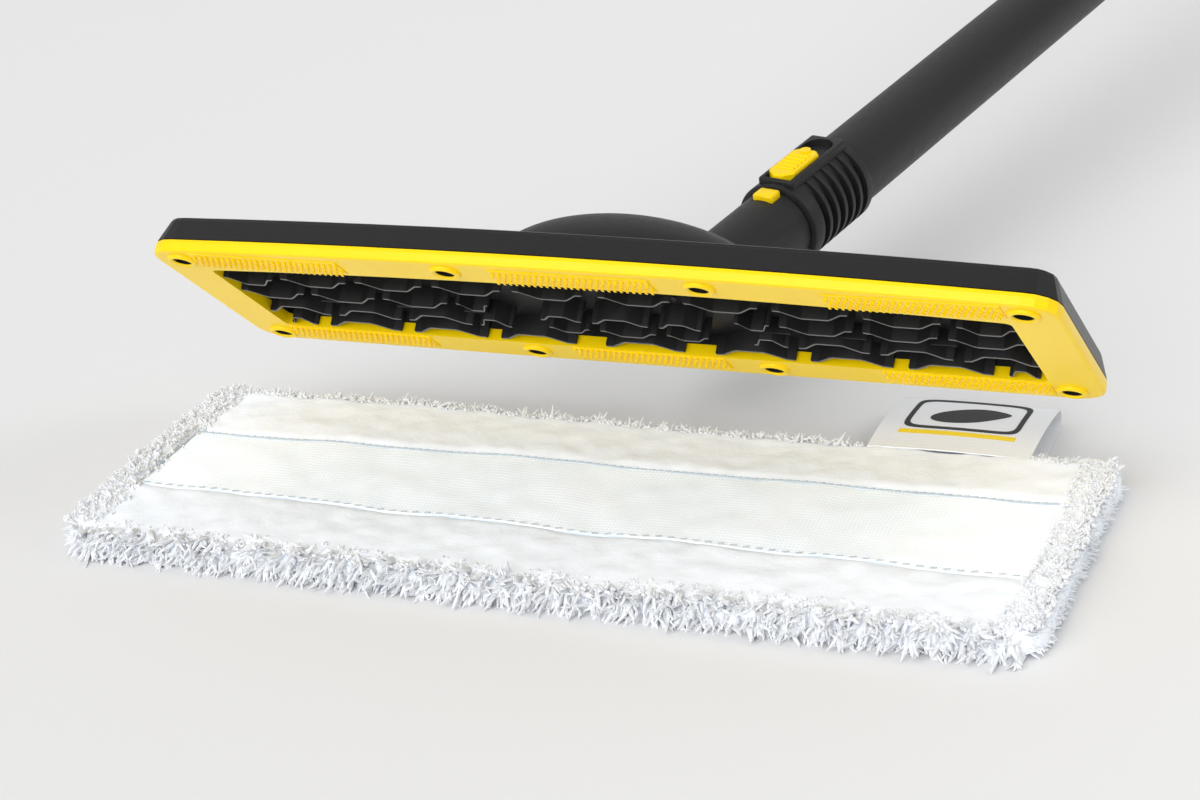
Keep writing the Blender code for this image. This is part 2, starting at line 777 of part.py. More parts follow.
def make_pitch_joint(head):
    lug_outer = YOKE_BARREL_LENGTH / 2 + PITCH_WASHER_THICKNESS + 2 * GAP + LUG_THICKNESS
    cross = shift(0, PITCH_Y, PITCH_Z) @ turn(math.pi / 2, "Y")
    groove = lug_outer + GAP
    head_start = -lug_outer - GAP
    end = groove + 2 * PITCH_HEAD_THICKNESS + GAP
    profile = [
        (0.0, end),
        (PITCH_PIN_RADIUS - GAP, end),
        (PITCH_PIN_RADIUS, end - GAP),
        (PITCH_PIN_RADIUS, head_start),
        (PITCH_HEAD_RADIUS, head_start),
        (PITCH_HEAD_RADIUS, head_start - PITCH_HEAD_THICKNESS),
        (0.0, head_start - PITCH_HEAD_THICKNESS),
    ]
    turned("pitch_pin", profile, head, (STEEL, 0.35, 1.0), cross, PIN_STEPS)
    ring(
        "pitch_clip",
        PITCH_HEAD_RADIUS,
        PITCH_PIN_RADIUS + PIN_GAP,
        groove,
        groove + PITCH_HEAD_THICKNESS,
        head,
        (STEEL, 0.40, 1.0),
        cross,
    )
    inner = YOKE_BARREL_LENGTH / 2 + GAP
    for name, side in (("pitch_washer_left", -1), ("pitch_washer_right", 1)):
        low, high = sorted((side * inner, side * (inner + PITCH_WASHER_THICKNESS)))
        outer = YOKE_BARREL_RADIUS - GAP
        ring(name, outer, PITCH_PIN_RADIUS + PIN_GAP, low, high, head, (RUBBER, 0.60), cross)


def make_yoke(yoke):
    cross = turn(math.pi / 2, "Y")
    half = YOKE_BARREL_LENGTH / 2
    barrel = bmesh.new()
    add_cylinder(barrel, YOKE_BARREL_RADIUS, -half, half, cross)
    item = part("yoke", barrel, yoke, (BLACK, 0.50))
    rear = ARM_OFFSET - BARREL_FRONT
    front = rear - CHEEK_THICKNESS
    cheek_axis = shift(0, 0, ARM_LENGTH) @ turn(-math.pi / 2, "X")
    cheek = bmesh.new()
    add_cylinder(cheek, CHEEK_RADIUS, front, rear, cheek_axis)
    combine(item, cutter(cheek, yoke), "UNION")
    arm = bmesh.new()
    add_box(
        arm,
        (-ARM_WIDTH / 2, front + GAP, 0.0),
        (ARM_WIDTH / 2, rear - GAP, ARM_LENGTH),
    )
    combine(item, cutter(arm, yoke), "UNION")
    bores = bmesh.new()
    add_cylinder(bores, PITCH_PIN_RADIUS + PIN_GAP, -half - GAP, half + GAP, cross)
    add_cylinder(bores, SWIVEL_PIN_RADIUS + PIN_GAP, front - GAP, rear + GAP, cheek_axis)
    combine(item, cutter(bores, yoke))
    middle = (front + rear) / 2
    channel = bmesh.new()
    add_cylinder(channel, CHANNEL_RADIUS, 0.0, ARM_LENGTH, shift(0, middle, 0), None, SMALL_STEPS)
    combine(item, cutter(channel, yoke))


def make_swivel_joint(yoke):
    """Pin, washer, seals and end cap on the swivel axis, which runs along the yoke's Y."""
    axis = shift(0, ARM_OFFSET, ARM_LENGTH) @ turn(-math.pi / 2, "X")
    cheek_front = -BARREL_FRONT - CHEEK_THICKNESS
    washer_low = BARREL_REAR + GAP
    cap_low = washer_low + SWIVEL_WASHER_THICKNESS + GAP
    pin_end = cap_low + CAP_THICKNESS * 0.6
    head_top = cheek_front - GAP
    groove = seal_groove(SWIVEL_PIN_RADIUS, SWIVEL_SEAL_WIRE)
    spread = SWIVEL_SEAL_WIRE + PIN_GAP
    profile = [(0.0, pin_end), (SWIVEL_PIN_RADIUS, pin_end)]
    for centre in (0.0055, -0.0055):
        profile += [
            (SWIVEL_PIN_RADIUS, centre + spread),
            (groove, centre + spread),
            (groove, centre - spread),
            (SWIVEL_PIN_RADIUS, centre - spread),
        ]
    profile += [
        (SWIVEL_PIN_RADIUS, head_top),
        (SWIVEL_HEAD_RADIUS, head_top),
        (SWIVEL_HEAD_RADIUS, head_top - SWIVEL_HEAD_THICKNESS * 0.6),
        (SWIVEL_HEAD_RADIUS * 0.85, head_top - SWIVEL_HEAD_THICKNESS),
        (0.0, head_top - SWIVEL_HEAD_THICKNESS),
    ]
    pin = turned("swivel_pin", profile, yoke, (STEEL, 0.35, 1.0), axis, PIN_STEPS)
    duct = bmesh.new()
    middle = -BARREL_FRONT - CHEEK_THICKNESS / 2
    add_cylinder(duct, CHANNEL_RADIUS, middle - CHANNEL_RADIUS, CHANNEL_RADIUS, None, None, SMALL_STEPS)
    combine(pin, cutter(duct, yoke, axis))
    ports = bmesh.new()
    reach = SWIVEL_PIN_RADIUS + GAP
    add_cylinder(ports, CHANNEL_RADIUS * 0.9, -reach, reach, turn(math.pi / 2, "Y"), None, SMALL_STEPS)
    inlet = shift(0, 0, middle) @ turn(math.pi / 2, "X")
    add_cylinder(ports, CHANNEL_RADIUS * 0.9, -reach, reach, inlet, None, SMALL_STEPS)
    combine(pin, cutter(ports, yoke, axis))
    for index, centre in enumerate((-0.0055, 0.0055)):
        place = axis @ shift(0, 0, centre)
        o_ring(f"swivel_o_ring_{index + 1}", SWIVEL_PIN_RADIUS, SWIVEL_SEAL_WIRE, yoke, place)
    ring(
        "swivel_washer",
        CAP_RADIUS - 2 * GAP,
        SWIVEL_PIN_RADIUS + PIN_GAP,
        washer_low,
        washer_low + SWIVEL_WASHER_THICKNESS,
        yoke,
        (STEEL, 0.40, 1.0),
        axis,
    )
    teeth = bmesh.new()
    outline = []
    for step in range(2 * CAP_TEETH):
        angle = math.pi * step / CAP_TEETH
        radius = CAP_RADIUS - (step % 2) * 0.0005
        outline.append((radius * math.cos(angle), radius * math.sin(angle)))
    cap_top = cap_low + CAP_THICKNESS
    dished = [(x * 0.8, y * 0.8) for x, y in outline]
    add_loft(
        teeth,
        [
            at_height(outline, cap_low),
            at_height(outline, cap_top - CAP_THICKNESS * 0.3),
            at_height(dished, cap_top),
        ],
    )
    cap = part("swivel_cap", teeth, yoke, (BLACK, 0.55), axis)
    socket = bmesh.new()
    add_cylinder(socket, SWIVEL_PIN_RADIUS + PIN_GAP, cap_low - GAP, pin_end + GAP)
    combine(cap, cutter(socket, yoke, axis))


def make_neck(neck):
    across = turn(-math.pi / 2, "X")
    barrel = bmesh.new()
    add_cylinder(barrel, NECK_BARREL_RADIUS, -TUBE_RADIUS, BARREL_REAR, across)
    item = part("neck", barrel, neck, (BLACK, 0.55))
    body = bmesh.new()
    add_cylinder(body, TUBE_RADIUS, 0.0, NECK_LENGTH)
    combine(item, cutter(body, neck), "UNION")
    relief = bmesh.new()
    clear = max(CHEEK_RADIUS, NECK_BARREL_RADIUS) + 0.0010
    add_cylinder(relief, clear, -TUBE_RADIUS - 2 * GAP, -BARREL_FRONT + GAP, across)
    combine(item, cutter(relief, neck))
    inside = bmesh.new()
    add_cylinder(inside, TUBE_RADIUS - NECK_WALL, NECK_FLOOR, NECK_LENGTH + GAP)
    combine(item, cutter(inside, neck))
    bore = bmesh.new()
    add_cylinder(bore, SWIVEL_PIN_RADIUS + PIN_GAP, -TUBE_RADIUS, BARREL_REAR + GAP, across)
    combine(item, cutter(bore, neck))
    channel = bmesh.new()
    add_cylinder(channel, CHANNEL_RADIUS * 1.3, 0.0, NECK_FLOOR + GAP, None, None, SMALL_STEPS)
    combine(item, cutter(channel, neck))
    pocket = bmesh.new()
    low, high = lug_span(NECK_LENGTH)
    add_box(pocket, *lug_corners(low, high, GAP))
    combine(item, cutter(pocket, neck))


def lug_span(shoulder):
    high = shoulder - 0.0012
    return high - LUG_LENGTH, high


def lug_corners(low, high, extra):
    half = LUG_WIDTH / 2 + extra
    inner = -(TUBE_RADIUS - NECK_WALL) + extra
    return (-half, -TUBE_RADIUS - LUG_RISE - extra, low - extra), (half, inner, high + extra)


def make_spigot(name, frame, shoulder, root):
    """A pipe coupling: a root inside the shell, a stepped shoulder and a spigot with a groove."""
    inside = TUBE_RADIUS - NECK_WALL - GAP
    top = shoulder + GAP + SPIGOT_LENGTH
    groove_z = top - 0.0075
    groove = seal_groove(SPIGOT_RADIUS, O_RING_WIRE)
    spread = O_RING_WIRE + PIN_GAP
    profile = [
        (SPIGOT_RADIUS - 0.0010, top),
        (SPIGOT_RADIUS, top - 0.0010),
        (SPIGOT_RADIUS, groove_z + spread),
        (groove, groove_z + spread),
        (groove, groove_z - spread),
        (SPIGOT_RADIUS, groove_z - spread),
        (SPIGOT_RADIUS, shoulder + GAP),
        (inside, shoulder + GAP),
        (inside, shoulder - root),
        (STEAM_BORE, shoulder - root),
        (STEAM_BORE, top),
    ]
    item = turned(name, profile, frame, (BLACK, 0.45))
    pocket = bmesh.new()
    low, high = lug_span(shoulder)
    corner_low, corner_high = lug_corners(low, high, GAP)
    add_box(pocket, corner_low, (corner_high[0], corner_high[1] + 0.0015, corner_high[2]))
    combine(item, cutter(pocket, frame))
    return shift(0, 0, groove_z)


def make_lug(name, frame, shoulder):
    low, high = lug_span(shoulder)
    corner_low, corner_high = lug_corners(low, high, 0.0)
    bm = bmesh.new()
    add_box(bm, corner_low, corner_high, None, 0.0008)
    part(name, bm, frame, (YELLOW, 0.35))


def make_neck_fittings(neck):
    seal = make_spigot("neck_spigot", neck, NECK_LENGTH, SPIGOT_ROOT)
    o_ring("neck_o_ring", SPIGOT_RADIUS, O_RING_WIRE, neck, seal)
    make_lug("neck_lug", neck, NECK_LENGTH)


def make_collar(neck):
    tube_fit = TUBE_RADIUS + GAP
    socket = SPIGOT_RADIUS + GAP
    floor_low = RIM_Z + SOCKET_DEPTH
    floor_high = floor_low + SOCKET_FLOOR
    pipe = STEAM_PIPE_RADIUS + GAP
    edge = 0.0008
    profile = [
        (tube_fit, COLLAR_END_Z),
        (COLLAR_RADIUS - edge, COLLAR_END_Z),
        (COLLAR_RADIUS, COLLAR_END_Z - edge),
        (COLLAR_RADIUS, RIM_Z + edge),
        (COLLAR_RADIUS - edge, RIM_Z),
        (socket, RIM_Z),
        (socket, floor_low),
        (pipe, floor_low),
        (pipe, floor_high),
        (tube_fit, floor_high),
    ]
    item = turned("collar", profile, neck, (BLACK, 0.50))
    first = RIM_Z + 0.0060
    for index in range(RIB_COUNT):
        low = first + index * RIB_PITCH
        groove = bmesh.new()
        add_cylinder(groove, COLLAR_RADIUS + 0.002, low, low + RIB_GROOVE)
        tool = cutter(groove, neck)
        length = 2 * (COLLAR_RADIUS - RIB_DEPTH)
        width = 2 * (COLLAR_RADIUS + GAP)
        heights = (low - GAP, low + RIB_GROOVE + GAP)
        core = cutter(loft([oval(length, width, z) for z in heights]), neck)
        combine(tool, core)
        combine(item, tool)
    guide = bmesh.new()
    half = GUIDE_WIDTH / 2
    add_box(
        guide,
        (-half, -COLLAR_RADIUS - GUIDE_RISE, RIM_Z + 0.0016),
        (half, -SPIGOT_RADIUS - 0.0012, COLLAR_END_Z - 0.0012),
        None,
        0.0010,
    )
    combine(item, cutter(guide, neck), "UNION")
    rear = bmesh.new()
    add_cylinder(rear, tube_fit, floor_high, COLLAR_END_Z + GAP)
    combine(item, cutter(rear, neck))
    low, high = guide_span()
    inner = half - GUIDE_RIM
    track = bmesh.new()
    top = -COLLAR_RADIUS - GUIDE_RISE
    add_box(track, (-inner, top - GAP, low), (inner, top + GUIDE_DEPTH, high - inner))
    combine(item, cutter(track, neck))
    end = bmesh.new()
    stand = shift(0, 0, high - inner) @ turn(math.pi / 2, "X")
    add_cylinder(end, inner - GAP / 10, -top - GUIDE_DEPTH, -top + GAP, stand)
    combine(item, cutter(end, neck))
    groove = bmesh.new()
    width = SPRING_RADIUS + SPRING_WIRE + GAP
    depth = top + GUIDE_DEPTH
    add_box(groove, (-width, depth - GAP, spring_low() - GAP), (width, depth + 2 * width, spring_high() + GAP))
    combine(item, cutter(groove, neck))


def guide_span():
    return RIM_Z + 0.0028, COLLAR_END_Z - 0.0036


def spring_low():
    return guide_span()[0] + SLIDER_LENGTH * 0.45


def spring_high():
    return RIM_Z + SOCKET_DEPTH - 0.0010


def make_slider(latch):
    low, high = guide_span()
    start = low + GAP
    half = GUIDE_WIDTH / 2 - GUIDE_RIM - GAP
    top = -COLLAR_RADIUS - GUIDE_RISE
    foot = top + GUIDE_DEPTH - GAP
    crown = top - 0.0014
    chevron = [
        (-half, start + 0.0030),
        (-half * 0.35, start),
        (half * 0.35, start),
        (half, start + 0.0030),
        (half, start + SLIDER_LENGTH - 0.0020),
        (half * 0.6, start + SLIDER_LENGTH),
        (-half * 0.6, start + SLIDER_LENGTH),
        (-half, start + SLIDER_LENGTH - 0.0020),
    ]
    upright = turn(math.pi / 2, "X")
    levels = ((-foot, 1.0), (-crown - 0.0006, 1.0), (-crown, 0.93))
    middle = start + SLIDER_LENGTH / 2
    rings = []
    for height, share in levels:
        rings.append([(x * share, middle + (z - middle) * share, height) for x, z in chevron])
    item = part("latch_slider", loft(rings), latch, (YELLOW, 0.35), upright)
    ridges = bmesh.new()
    for index in range(SLIDER_RIDGES):
        z = start + 0.0052 + index * 0.0026
        add_cylinder(
            ridges,
            0.0007,
            -half * 0.75,
            half * 0.75,
            shift(0, crown + 0.0001, z) @ turn(math.pi / 2, "Y"),
            None,
            12,
        )
    combine(item, cutter(ridges, latch), "UNION")
    knob = bmesh.new()
    stand = shift(0, 0, start + SLIDER_LENGTH - KNOB_RADIUS) @ upright
    add_cylinder(knob, KNOB_RADIUS, -foot + GAP, -crown + 0.0008, stand, KNOB_RADIUS * 0.85, SMALL_STEPS)
    combine(item, cutter(knob, latch), "UNION")


def make_spring(neck):
    """A compression coil that lies under the slider, along the tube."""
    low = spring_low()
    high = spring_high()
    depth = -COLLAR_RADIUS - GUIDE_RISE + GUIDE_DEPTH + SPRING_RADIUS + SPRING_WIRE + GAP / 2
    curve = bpy.data.curves.new("latch_spring", "CURVE")
    curve.dimensions = "3D"
    curve.bevel_depth = SPRING_WIRE
    curve.bevel_resolution = 1
    curve.use_fill_caps = True
    spline = curve.splines.new("POLY")
    per_turn = 8
    count = SPRING_TURNS * per_turn + 1
    spline.points.add(count - 1)
    for index, point in enumerate(spline.points):
        angle = 2 * math.pi * index / per_turn
        z = low + SPRING_WIRE + (high - low - 2 * SPRING_WIRE) * index / (count - 1)
        x = SPRING_RADIUS * math.cos(angle)
        point.co = (x, depth + SPRING_RADIUS * math.sin(angle), z, 1.0)
    wire = bpy.data.objects.new("latch_spring_curve", curve)
    PARTS.objects.link(wire)
    bpy.context.view_layer.update()
    evaluated = wire.evaluated_get(bpy.context.evaluated_depsgraph_get())
    mesh = bpy.data.meshes.new_from_object(evaluated)
    bm = bmesh.new()
    bm.from_mesh(mesh)
    bmesh.ops.remove_doubles(bm, verts=bm.verts, dist=0.00001)
    bpy.data.objects.remove(wire)
    part("latch_spring", bm, neck, (STEEL, 0.30, 1.0))


def make_tube(neck):
    start = RIM_Z + SOCKET_DEPTH + SOCKET_FLOOR + GAP
    profile = [
        (TUBE_RADIUS, SHOULDER_Z),
        (TUBE_RADIUS, start),
        (TUBE_RADIUS - TUBE_WALL, start),
        (TUBE_RADIUS - TUBE_WALL, SHOULDER_Z),
    ]
    item = turned("extension_tube", profile, neck, (BLACK, 0.50))
    pocket = bmesh.new()
    low, high = lug_span(SHOULDER_Z)
    add_box(pocket, *lug_corners(low, high, GAP))
    combine(item, cutter(pocket, neck))


def make_tube_fittings(neck):
    seal = make_spigot("tube_spigot", neck, SHOULDER_Z, UPPER_SPIGOT_ROOT)
    o_ring("spigot_o_ring", SPIGOT_RADIUS, O_RING_WIRE, neck, seal)
    make_lug("spigot_lug", neck, SHOULDER_Z)
    socket_floor = RIM_Z + SOCKET_DEPTH
    seal_low = socket_floor - GAP - SEAL_THICKNESS
    ring(
        "socket_seal",
        SPIGOT_RADIUS,
        STEAM_PIPE_RADIUS + PIN_GAP,
        seal_low,
        socket_floor - GAP,
        neck,
        (RUBBER, 0.60),
    )
    ring(
        "steam_pipe",
        STEAM_PIPE_RADIUS,
        STEAM_PIPE_RADIUS - STEAM_PIPE_WALL,
        seal_low,
        SHOULDER_Z + GAP + SPIGOT_LENGTH - 0.0010,
        neck,
        (NATURAL, 0.45),
    )


def make_cloth(cloth):
    half_length = CLOTH_LENGTH / 2
    half_width = CLOTH_WIDTH / 2

    def outline(inset, height):
        radius = CLOTH_CORNER - inset
        x = half_length - CLOTH_CORNER
        y = half_width - CLOTH_CORNER
        points = arc(x, y, radius, 0) + arc(-x, y, radius, 90)
        points += arc(-x, -y, radius, 180) + arc(x, -y, radius, 270)
        return at_height(points, height)

    levels = (
        (-CLOTH_THICKNESS, CLOTH_EDGE),
        (-CLOTH_THICKNESS + CLOTH_EDGE * 0.4, CLOTH_EDGE * 0.3),
        (-CLOTH_THICKNESS / 2, 0.0),
        (-CLOTH_EDGE * 0.4, CLOTH_EDGE * 0.3),
        (0.0, CLOTH_EDGE),
    )
    rings = [outline(inset, height) for height, inset in levels]
    pad = part("cloth_pad", loft(rings), cloth, (WHITE, 0.95))
    half_panel = PANEL_LENGTH / 2
    low_y = PANEL_OFFSET_Y - PANEL_WIDTH / 2
    high_y = PANEL_OFFSET_Y + PANEL_WIDTH / 2
    seat = bmesh.new()
    add_box(
        seat,
        (-half_panel - GAP, low_y - GAP, -PANEL_THICKNESS - GAP),
        (half_panel + GAP, high_y + GAP, GAP),
    )
    combine(pad, cutter(seat, cloth))
    panel = bmesh.new()
    add_box(panel, (-half_panel, low_y, -PANEL_THICKNESS), (half_panel, high_y, 0.0))
    part("cloth_panel", panel, cloth, (WHITE, 0.80))


def make_foot_tab(cloth):
    """A label folded once and sewn to the far edge: two layers joined by a half turn."""
    start = CLOTH_WIDTH / 2 + GAP
    end = start + TAB_LENGTH
    reach = TAB_OPENING / 2 + TAB_LAYER
    middle = -CLOTH_THICKNESS * 0.4
    outer = []
    inner = []
    steps = 10
    for step in range(steps + 1):
        angle = -math.pi / 2 + math.pi * step / steps
        outer.append((end - reach + reach * math.cos(angle), middle + reach * math.sin(angle)))
        hollow = reach - TAB_LAYER
        inner.append((end - reach + hollow * math.cos(angle), middle + hollow * math.sin(angle)))
    outline = [(start, middle - reach)] + outer + [(start, middle + reach)]
    outline += [(start, middle + reach - TAB_LAYER)] + list(reversed(inner))
    outline += [(start, middle - reach + TAB_LAYER)]
    rings = []
    for x in (TAB_X - TAB_WIDTH / 2, TAB_X + TAB_WIDTH / 2):
        rings.append([(x, y, z) for y, z in outline])
    part("foot_tab", loft(rings), cloth, (WHITE, 0.70))


def main():
    head_matrix, yoke_matrix, neck_matrix = frame_matrices()
    swivel_point = neck_matrix @ Vector((0, 0, 0))
    pitch_point = yoke_matrix @ Vector((0, 0, 0))
    neck = Frame("neck_frame", neck_matrix, swivel_point)
    yoke = Frame("yoke_frame", yoke_matrix, swivel_point)
    head = Frame("head_frame", head_matrix, pitch_point)
    cloth = Frame("cloth_frame", cloth_matrix(head_matrix), peel_pivot(head_matrix))
    latch = Frame("latch_frame", neck_matrix, neck_matrix @ Vector((0, 0, RIM_Z)))
    make_sole_frame(head)
    make_sole_screws(head)
    make_lamella_insert(head)
    make_gasket(head)
    make_steam_chamber(head)
    make_chamber_screws(head)
    make_top_shell(head)
    make_dome(head)
    make_pitch_joint(head)
    make_yoke(yoke)
    make_swivel_joint(yoke)
    make_neck(neck)
    make_neck_fittings(neck)
    make_collar(neck)
    make_slider(latch)
    make_spring(neck)
    make_tube(neck)
    make_tube_fittings(neck)
    make_cloth(cloth)
    make_foot_tab(cloth)


remove_everything()
PARTS = new_collection("steam_floor_head")
CUTTERS = new_collection("cutters")
GUIDES = new_collection("guides")
main()
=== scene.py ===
import json
import math
import random

import bmesh
import bpy
from mathutils import Matrix, Vector, noise


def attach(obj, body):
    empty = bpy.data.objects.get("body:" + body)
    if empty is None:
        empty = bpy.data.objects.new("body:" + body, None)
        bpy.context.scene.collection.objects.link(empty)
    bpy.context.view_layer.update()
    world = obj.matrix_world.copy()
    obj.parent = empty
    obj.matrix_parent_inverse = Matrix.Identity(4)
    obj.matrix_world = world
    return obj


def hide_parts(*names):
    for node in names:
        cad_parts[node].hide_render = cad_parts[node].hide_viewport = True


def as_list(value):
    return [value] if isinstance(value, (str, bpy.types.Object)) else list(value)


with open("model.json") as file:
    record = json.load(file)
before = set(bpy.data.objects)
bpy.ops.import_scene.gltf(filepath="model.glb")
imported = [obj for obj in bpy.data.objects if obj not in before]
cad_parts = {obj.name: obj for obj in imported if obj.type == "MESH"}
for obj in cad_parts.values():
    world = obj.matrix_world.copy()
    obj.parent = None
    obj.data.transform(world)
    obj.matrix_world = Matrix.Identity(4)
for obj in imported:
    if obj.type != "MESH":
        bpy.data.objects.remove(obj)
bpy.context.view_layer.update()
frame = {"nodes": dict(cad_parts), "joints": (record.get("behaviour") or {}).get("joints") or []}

# Sizes are in metres. Most match the CAD pieces they stand for. The label, the cloth's corners and
# thickness, the ribs, the bosses and the middle lamella rows differ from them by up to a few millimetres
GAP = 0.0003
HALF_LENGTH = 0.1465
FAR_EDGE = 0.042
NEAR_EDGE = 0.0445
NEAR_BOW = 0.0065
RAIL = 0.016
WINDOW_CORNER = 0.0025
WINDOW_HALF = HALF_LENGTH - RAIL
WINDOW_WALL = 0.0016

# Hook fields on the sole
FIELD_OUTER = 0.0525
FIELD_CENTRE = 0.026
FIELD_RISE = 0.0003
HOOK_PITCH = 0.0020
HOOK_ROWS = 4
HOOK_ROW_PITCH = 0.0024
HOOK_HEIGHT = 0.0014
HOOK_RADIUS = 0.00044
HOOK_REACH = 0.00045

# Screw bosses
SCREW_INSET_X = 0.0105
SCREW_MIDDLE_X = 0.041
SCREW_INSET_Y = 0.0082
BOSS_OUTER = 0.0050
BOSS_INNER = 0.0029
BOSS_RISE = 0.0011
BOSS_FOOT = 0.0015
RECESS_FLOOR = 0.0024
# Wall and top of the near-black tube painted as shade inside each screw hole
HOLE_SHADE_WALL = 0.00025
HOLE_SHADE_TOP = -0.00045

# Lamella insert
INSERT_BASE_Z = 0.0073
INSERT_TOP_Z = 0.0088
INSERT_LIP = 0.003
LAMELLA_THICKNESS = 0.0013
LAMELLA_TIP = 0.0004
LAMELLA_BOW = 0.0058
LAMELLA_SHARES = (
    (0.0, 0.0),
    (0.10, 0.06),
    (0.28, 0.86),
    (0.33, 1.0),
    (0.67, 1.0),
    (0.72, 0.86),
    (0.90, 0.06),
    (1.0, 0.0),
)
LAMELLA_CUT_BACK = 0.0012
NEAR_ROW_INSET = 0.009
NEAR_ROW_START = 0.0025
NEAR_ROW_LENGTH = 0.0235
NEAR_ROW_PITCH = 0.0275
NEAR_ROW_SHORTEST = 0.010
MIDDLE_ROW_LENGTH = 0.0230
MIDDLE_ROW_GAP = 0.0030
MIDDLE_ROW_END = 0.0410
MIDDLE_ROW_SHORTEST = 0.0030
MIDDLE_ROW_LIFT = 0.0015
MIDDLE_ROW_Y = ((-0.0095, 1), (0.0112, -1))
FAR_ROW_START = 0.0240
FAR_ROW_LENGTH = 0.0265
FAR_ROW_PITCH = 0.0315
FAR_ROW_SHORTEST = 0.008
SHORT_WALLS = ((0.0130, 0.0270, 0.0085, 0.0040), (0.0130, 0.0270, 0.0010, -0.0040))
CENTRE_WALLS = ((-0.0095, 0.0095, 0.0085, 0.0045), (-0.0095, 0.0095, 0.0010, -0.0045))
CENTRE_FAR_HALF = 0.0135
TIP_ROUND = 0.0005
LINER_LOW_Z = 0.0038
LINER_INSETS = (0.0002, 0.0008)
NOTCH_X = (0.051, 0.075, 0.103)

# Dome
SHELL_TOP = 0.013
DOME_LENGTH = 0.096
DOME_WIDTH = 0.068
DOME_CENTRE_Y = 0.004
DOME_TOP = 0.0352
DOME_WALL = 0.0022
ARM_SLOT = 0.0065
PITCH_Y = 0.020
PITCH_Z = 0.016
YOKE_BARREL = 0.0062

# Neck, collar and tube
TUBE_RADIUS = 0.0137
TUBE_WALL = 0.0017
NECK_WALL = 0.0021
NECK_LENGTH = 0.0545
NECK_BARREL = 0.0132
BARREL_FRONT = 0.012
BARREL_REAR = 0.0145
CHEEK_CLEAR = 0.0142
SPIGOT_RADIUS = 0.0104
SWIVEL_BORE = 0.00365
LUG_LENGTH = 0.0062
LUG_WIDTH = 0.0078
LUG_RISE = 0.0017
LUG_SETBACK = 0.0012
RIM_Z = NECK_LENGTH + GAP
COLLAR_RADIUS = 0.0157
COLLAR_LENGTH = 0.0395
COLLAR_END_Z = RIM_Z + COLLAR_LENGTH
SOCKET_DEPTH = 0.0285
SOCKET_FLOOR = 0.002
TUBE_START_Z = RIM_Z + SOCKET_DEPTH + SOCKET_FLOOR + GAP
SHOULDER_Z = RIM_Z + 0.5
RIB_COUNT = 6
RIB_FIRST = 0.006
RIB_PITCH = 0.0052
RIB_GROOVE = 0.0034
RIB_DEPTH = 0.0026
GUIDE_WIDTH = 0.0142
GUIDE_RISE = 0.0014
GUIDE_RIM = 0.0018
GUIDE_DEPTH = 0.0023
PIPE_RADIUS = 0.0036

# Cloth
CLOTH_OFFSET = (-0.009, -0.0215)
CLOTH_DROP = 0.0503
CLOTH_LENGTH = 0.318
CLOTH_WIDTH = 0.110
CLOTH_THICKNESS = 0.0075
CLOTH_CORNER = 0.010
END_PITCH = 0.0024
PANEL_LEFT = -0.1500
PANEL_RIGHT = 0.1480
PANEL_THICKNESS = 0.0006
BAND_RISE = 0.0008
TAB_LOW_X = 0.0775
TAB_HIGH_X = 0.1300
TAB_LENGTH = 0.037
TAB_LAYER = 0.0008
TAB_FOLD = 0.0037
TAB_LOW_Z = -0.0070
TAB_ARCH = 0.0006
PRINT_RISE = 0.00012

# Lights: name, place, strength and angle, or size and power
WORLD_STRENGTH = 0.45
SUNS = (
    ("back_key", (-0.30, 0.75, 1.0), 0.30, 80),
    ("front_key", (-0.20, -0.80, 0.62), 2.20, 60),
    ("low_fill", (0.20, -1.0, 0.05), 0.55, 50),
)
PANELS = (
    ("right_rim", (1.1, 0.25, 0.75), 0.45, 3.0),
)

# Edges rounded on carried-over pieces
EASED = (
    ("sole_frame", 0.00025),
    ("top_shell", 0.0004),
    ("latch_slider", 0.0003),
    ("swivel_cap", 0.00015),
    ("yoke", 0.0004),
)

DEEP_BLACK = (0.013, 0.013, 0.013)

# Camera
CAMERA_PLACE = (0.192005, -1.294649, 0.289212)
CAMERA_AIM = (-0.131865, -0.599659, -0.060198)
CAMERA_ROLL = -6.15
CAMERA_LENS = 80.15

SMOOTH_ANGLE = math.radians(32)
ROUND_STEPS = 96

scene = bpy.context.scene
nodes = frame["nodes"]
joints = {joint["name"]: joint for joint in frame["joints"]}


def turn(degrees, axis):
    return Matrix.Rotation(math.radians(degrees), 4, axis)


def shift(x, y, z):
    return Matrix.Translation((x, y, z))


# Frames of the pieces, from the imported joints
pitch_point = Vector(joints["head_pitch"]["pos_m"])
swivel_point = Vector(joints["neck_swivel"]["pos_m"])
head_tilt = joints["cloth_peel"]["range_deg"][1]
neck_tilt = head_tilt - joints["head_pitch"]["range_deg"][0]
neck_turn = sum(joints["neck_swivel"]["range_deg"]) / 2
HEAD = Matrix.Translation(pitch_point) @ turn(-head_tilt, "X") @ shift(0, -PITCH_Y, -PITCH_Z)
NECK = Matrix.Translation(swivel_point) @ turn(-neck_tilt, "X") @ turn(neck_turn, "Y")
sole_centre = HEAD @ Vector((0, 0, 0))
cloth_centre = sole_centre + Vector((*CLOTH_OFFSET, -CLOTH_DROP))
CLOTH = Matrix.Translation(cloth_centre)
FLOOR_Z = cloth_centre.z - CLOTH_THICKNESS


# ---------------------------------------------------------------- materials


def add_node(tree, kind, **inputs):
    """A shader node with its inputs set, or joined where a socket is given."""
    node = tree.nodes.new(kind)
    for key, value in inputs.items():
        put(tree, node.inputs[key.replace("_", " ")], value)
    return node


def put(tree, socket, value):
    if isinstance(value, bpy.types.NodeSocket):
        tree.links.new(value, socket)
    else:
        socket.default_value = value


def calc(tree, operation, first, second=0.0):
    node = tree.nodes.new("ShaderNodeMath")
    node.operation = operation
    put(tree, node.inputs[0], first)
    put(tree, node.inputs[1], second)
    return node.outputs[0]


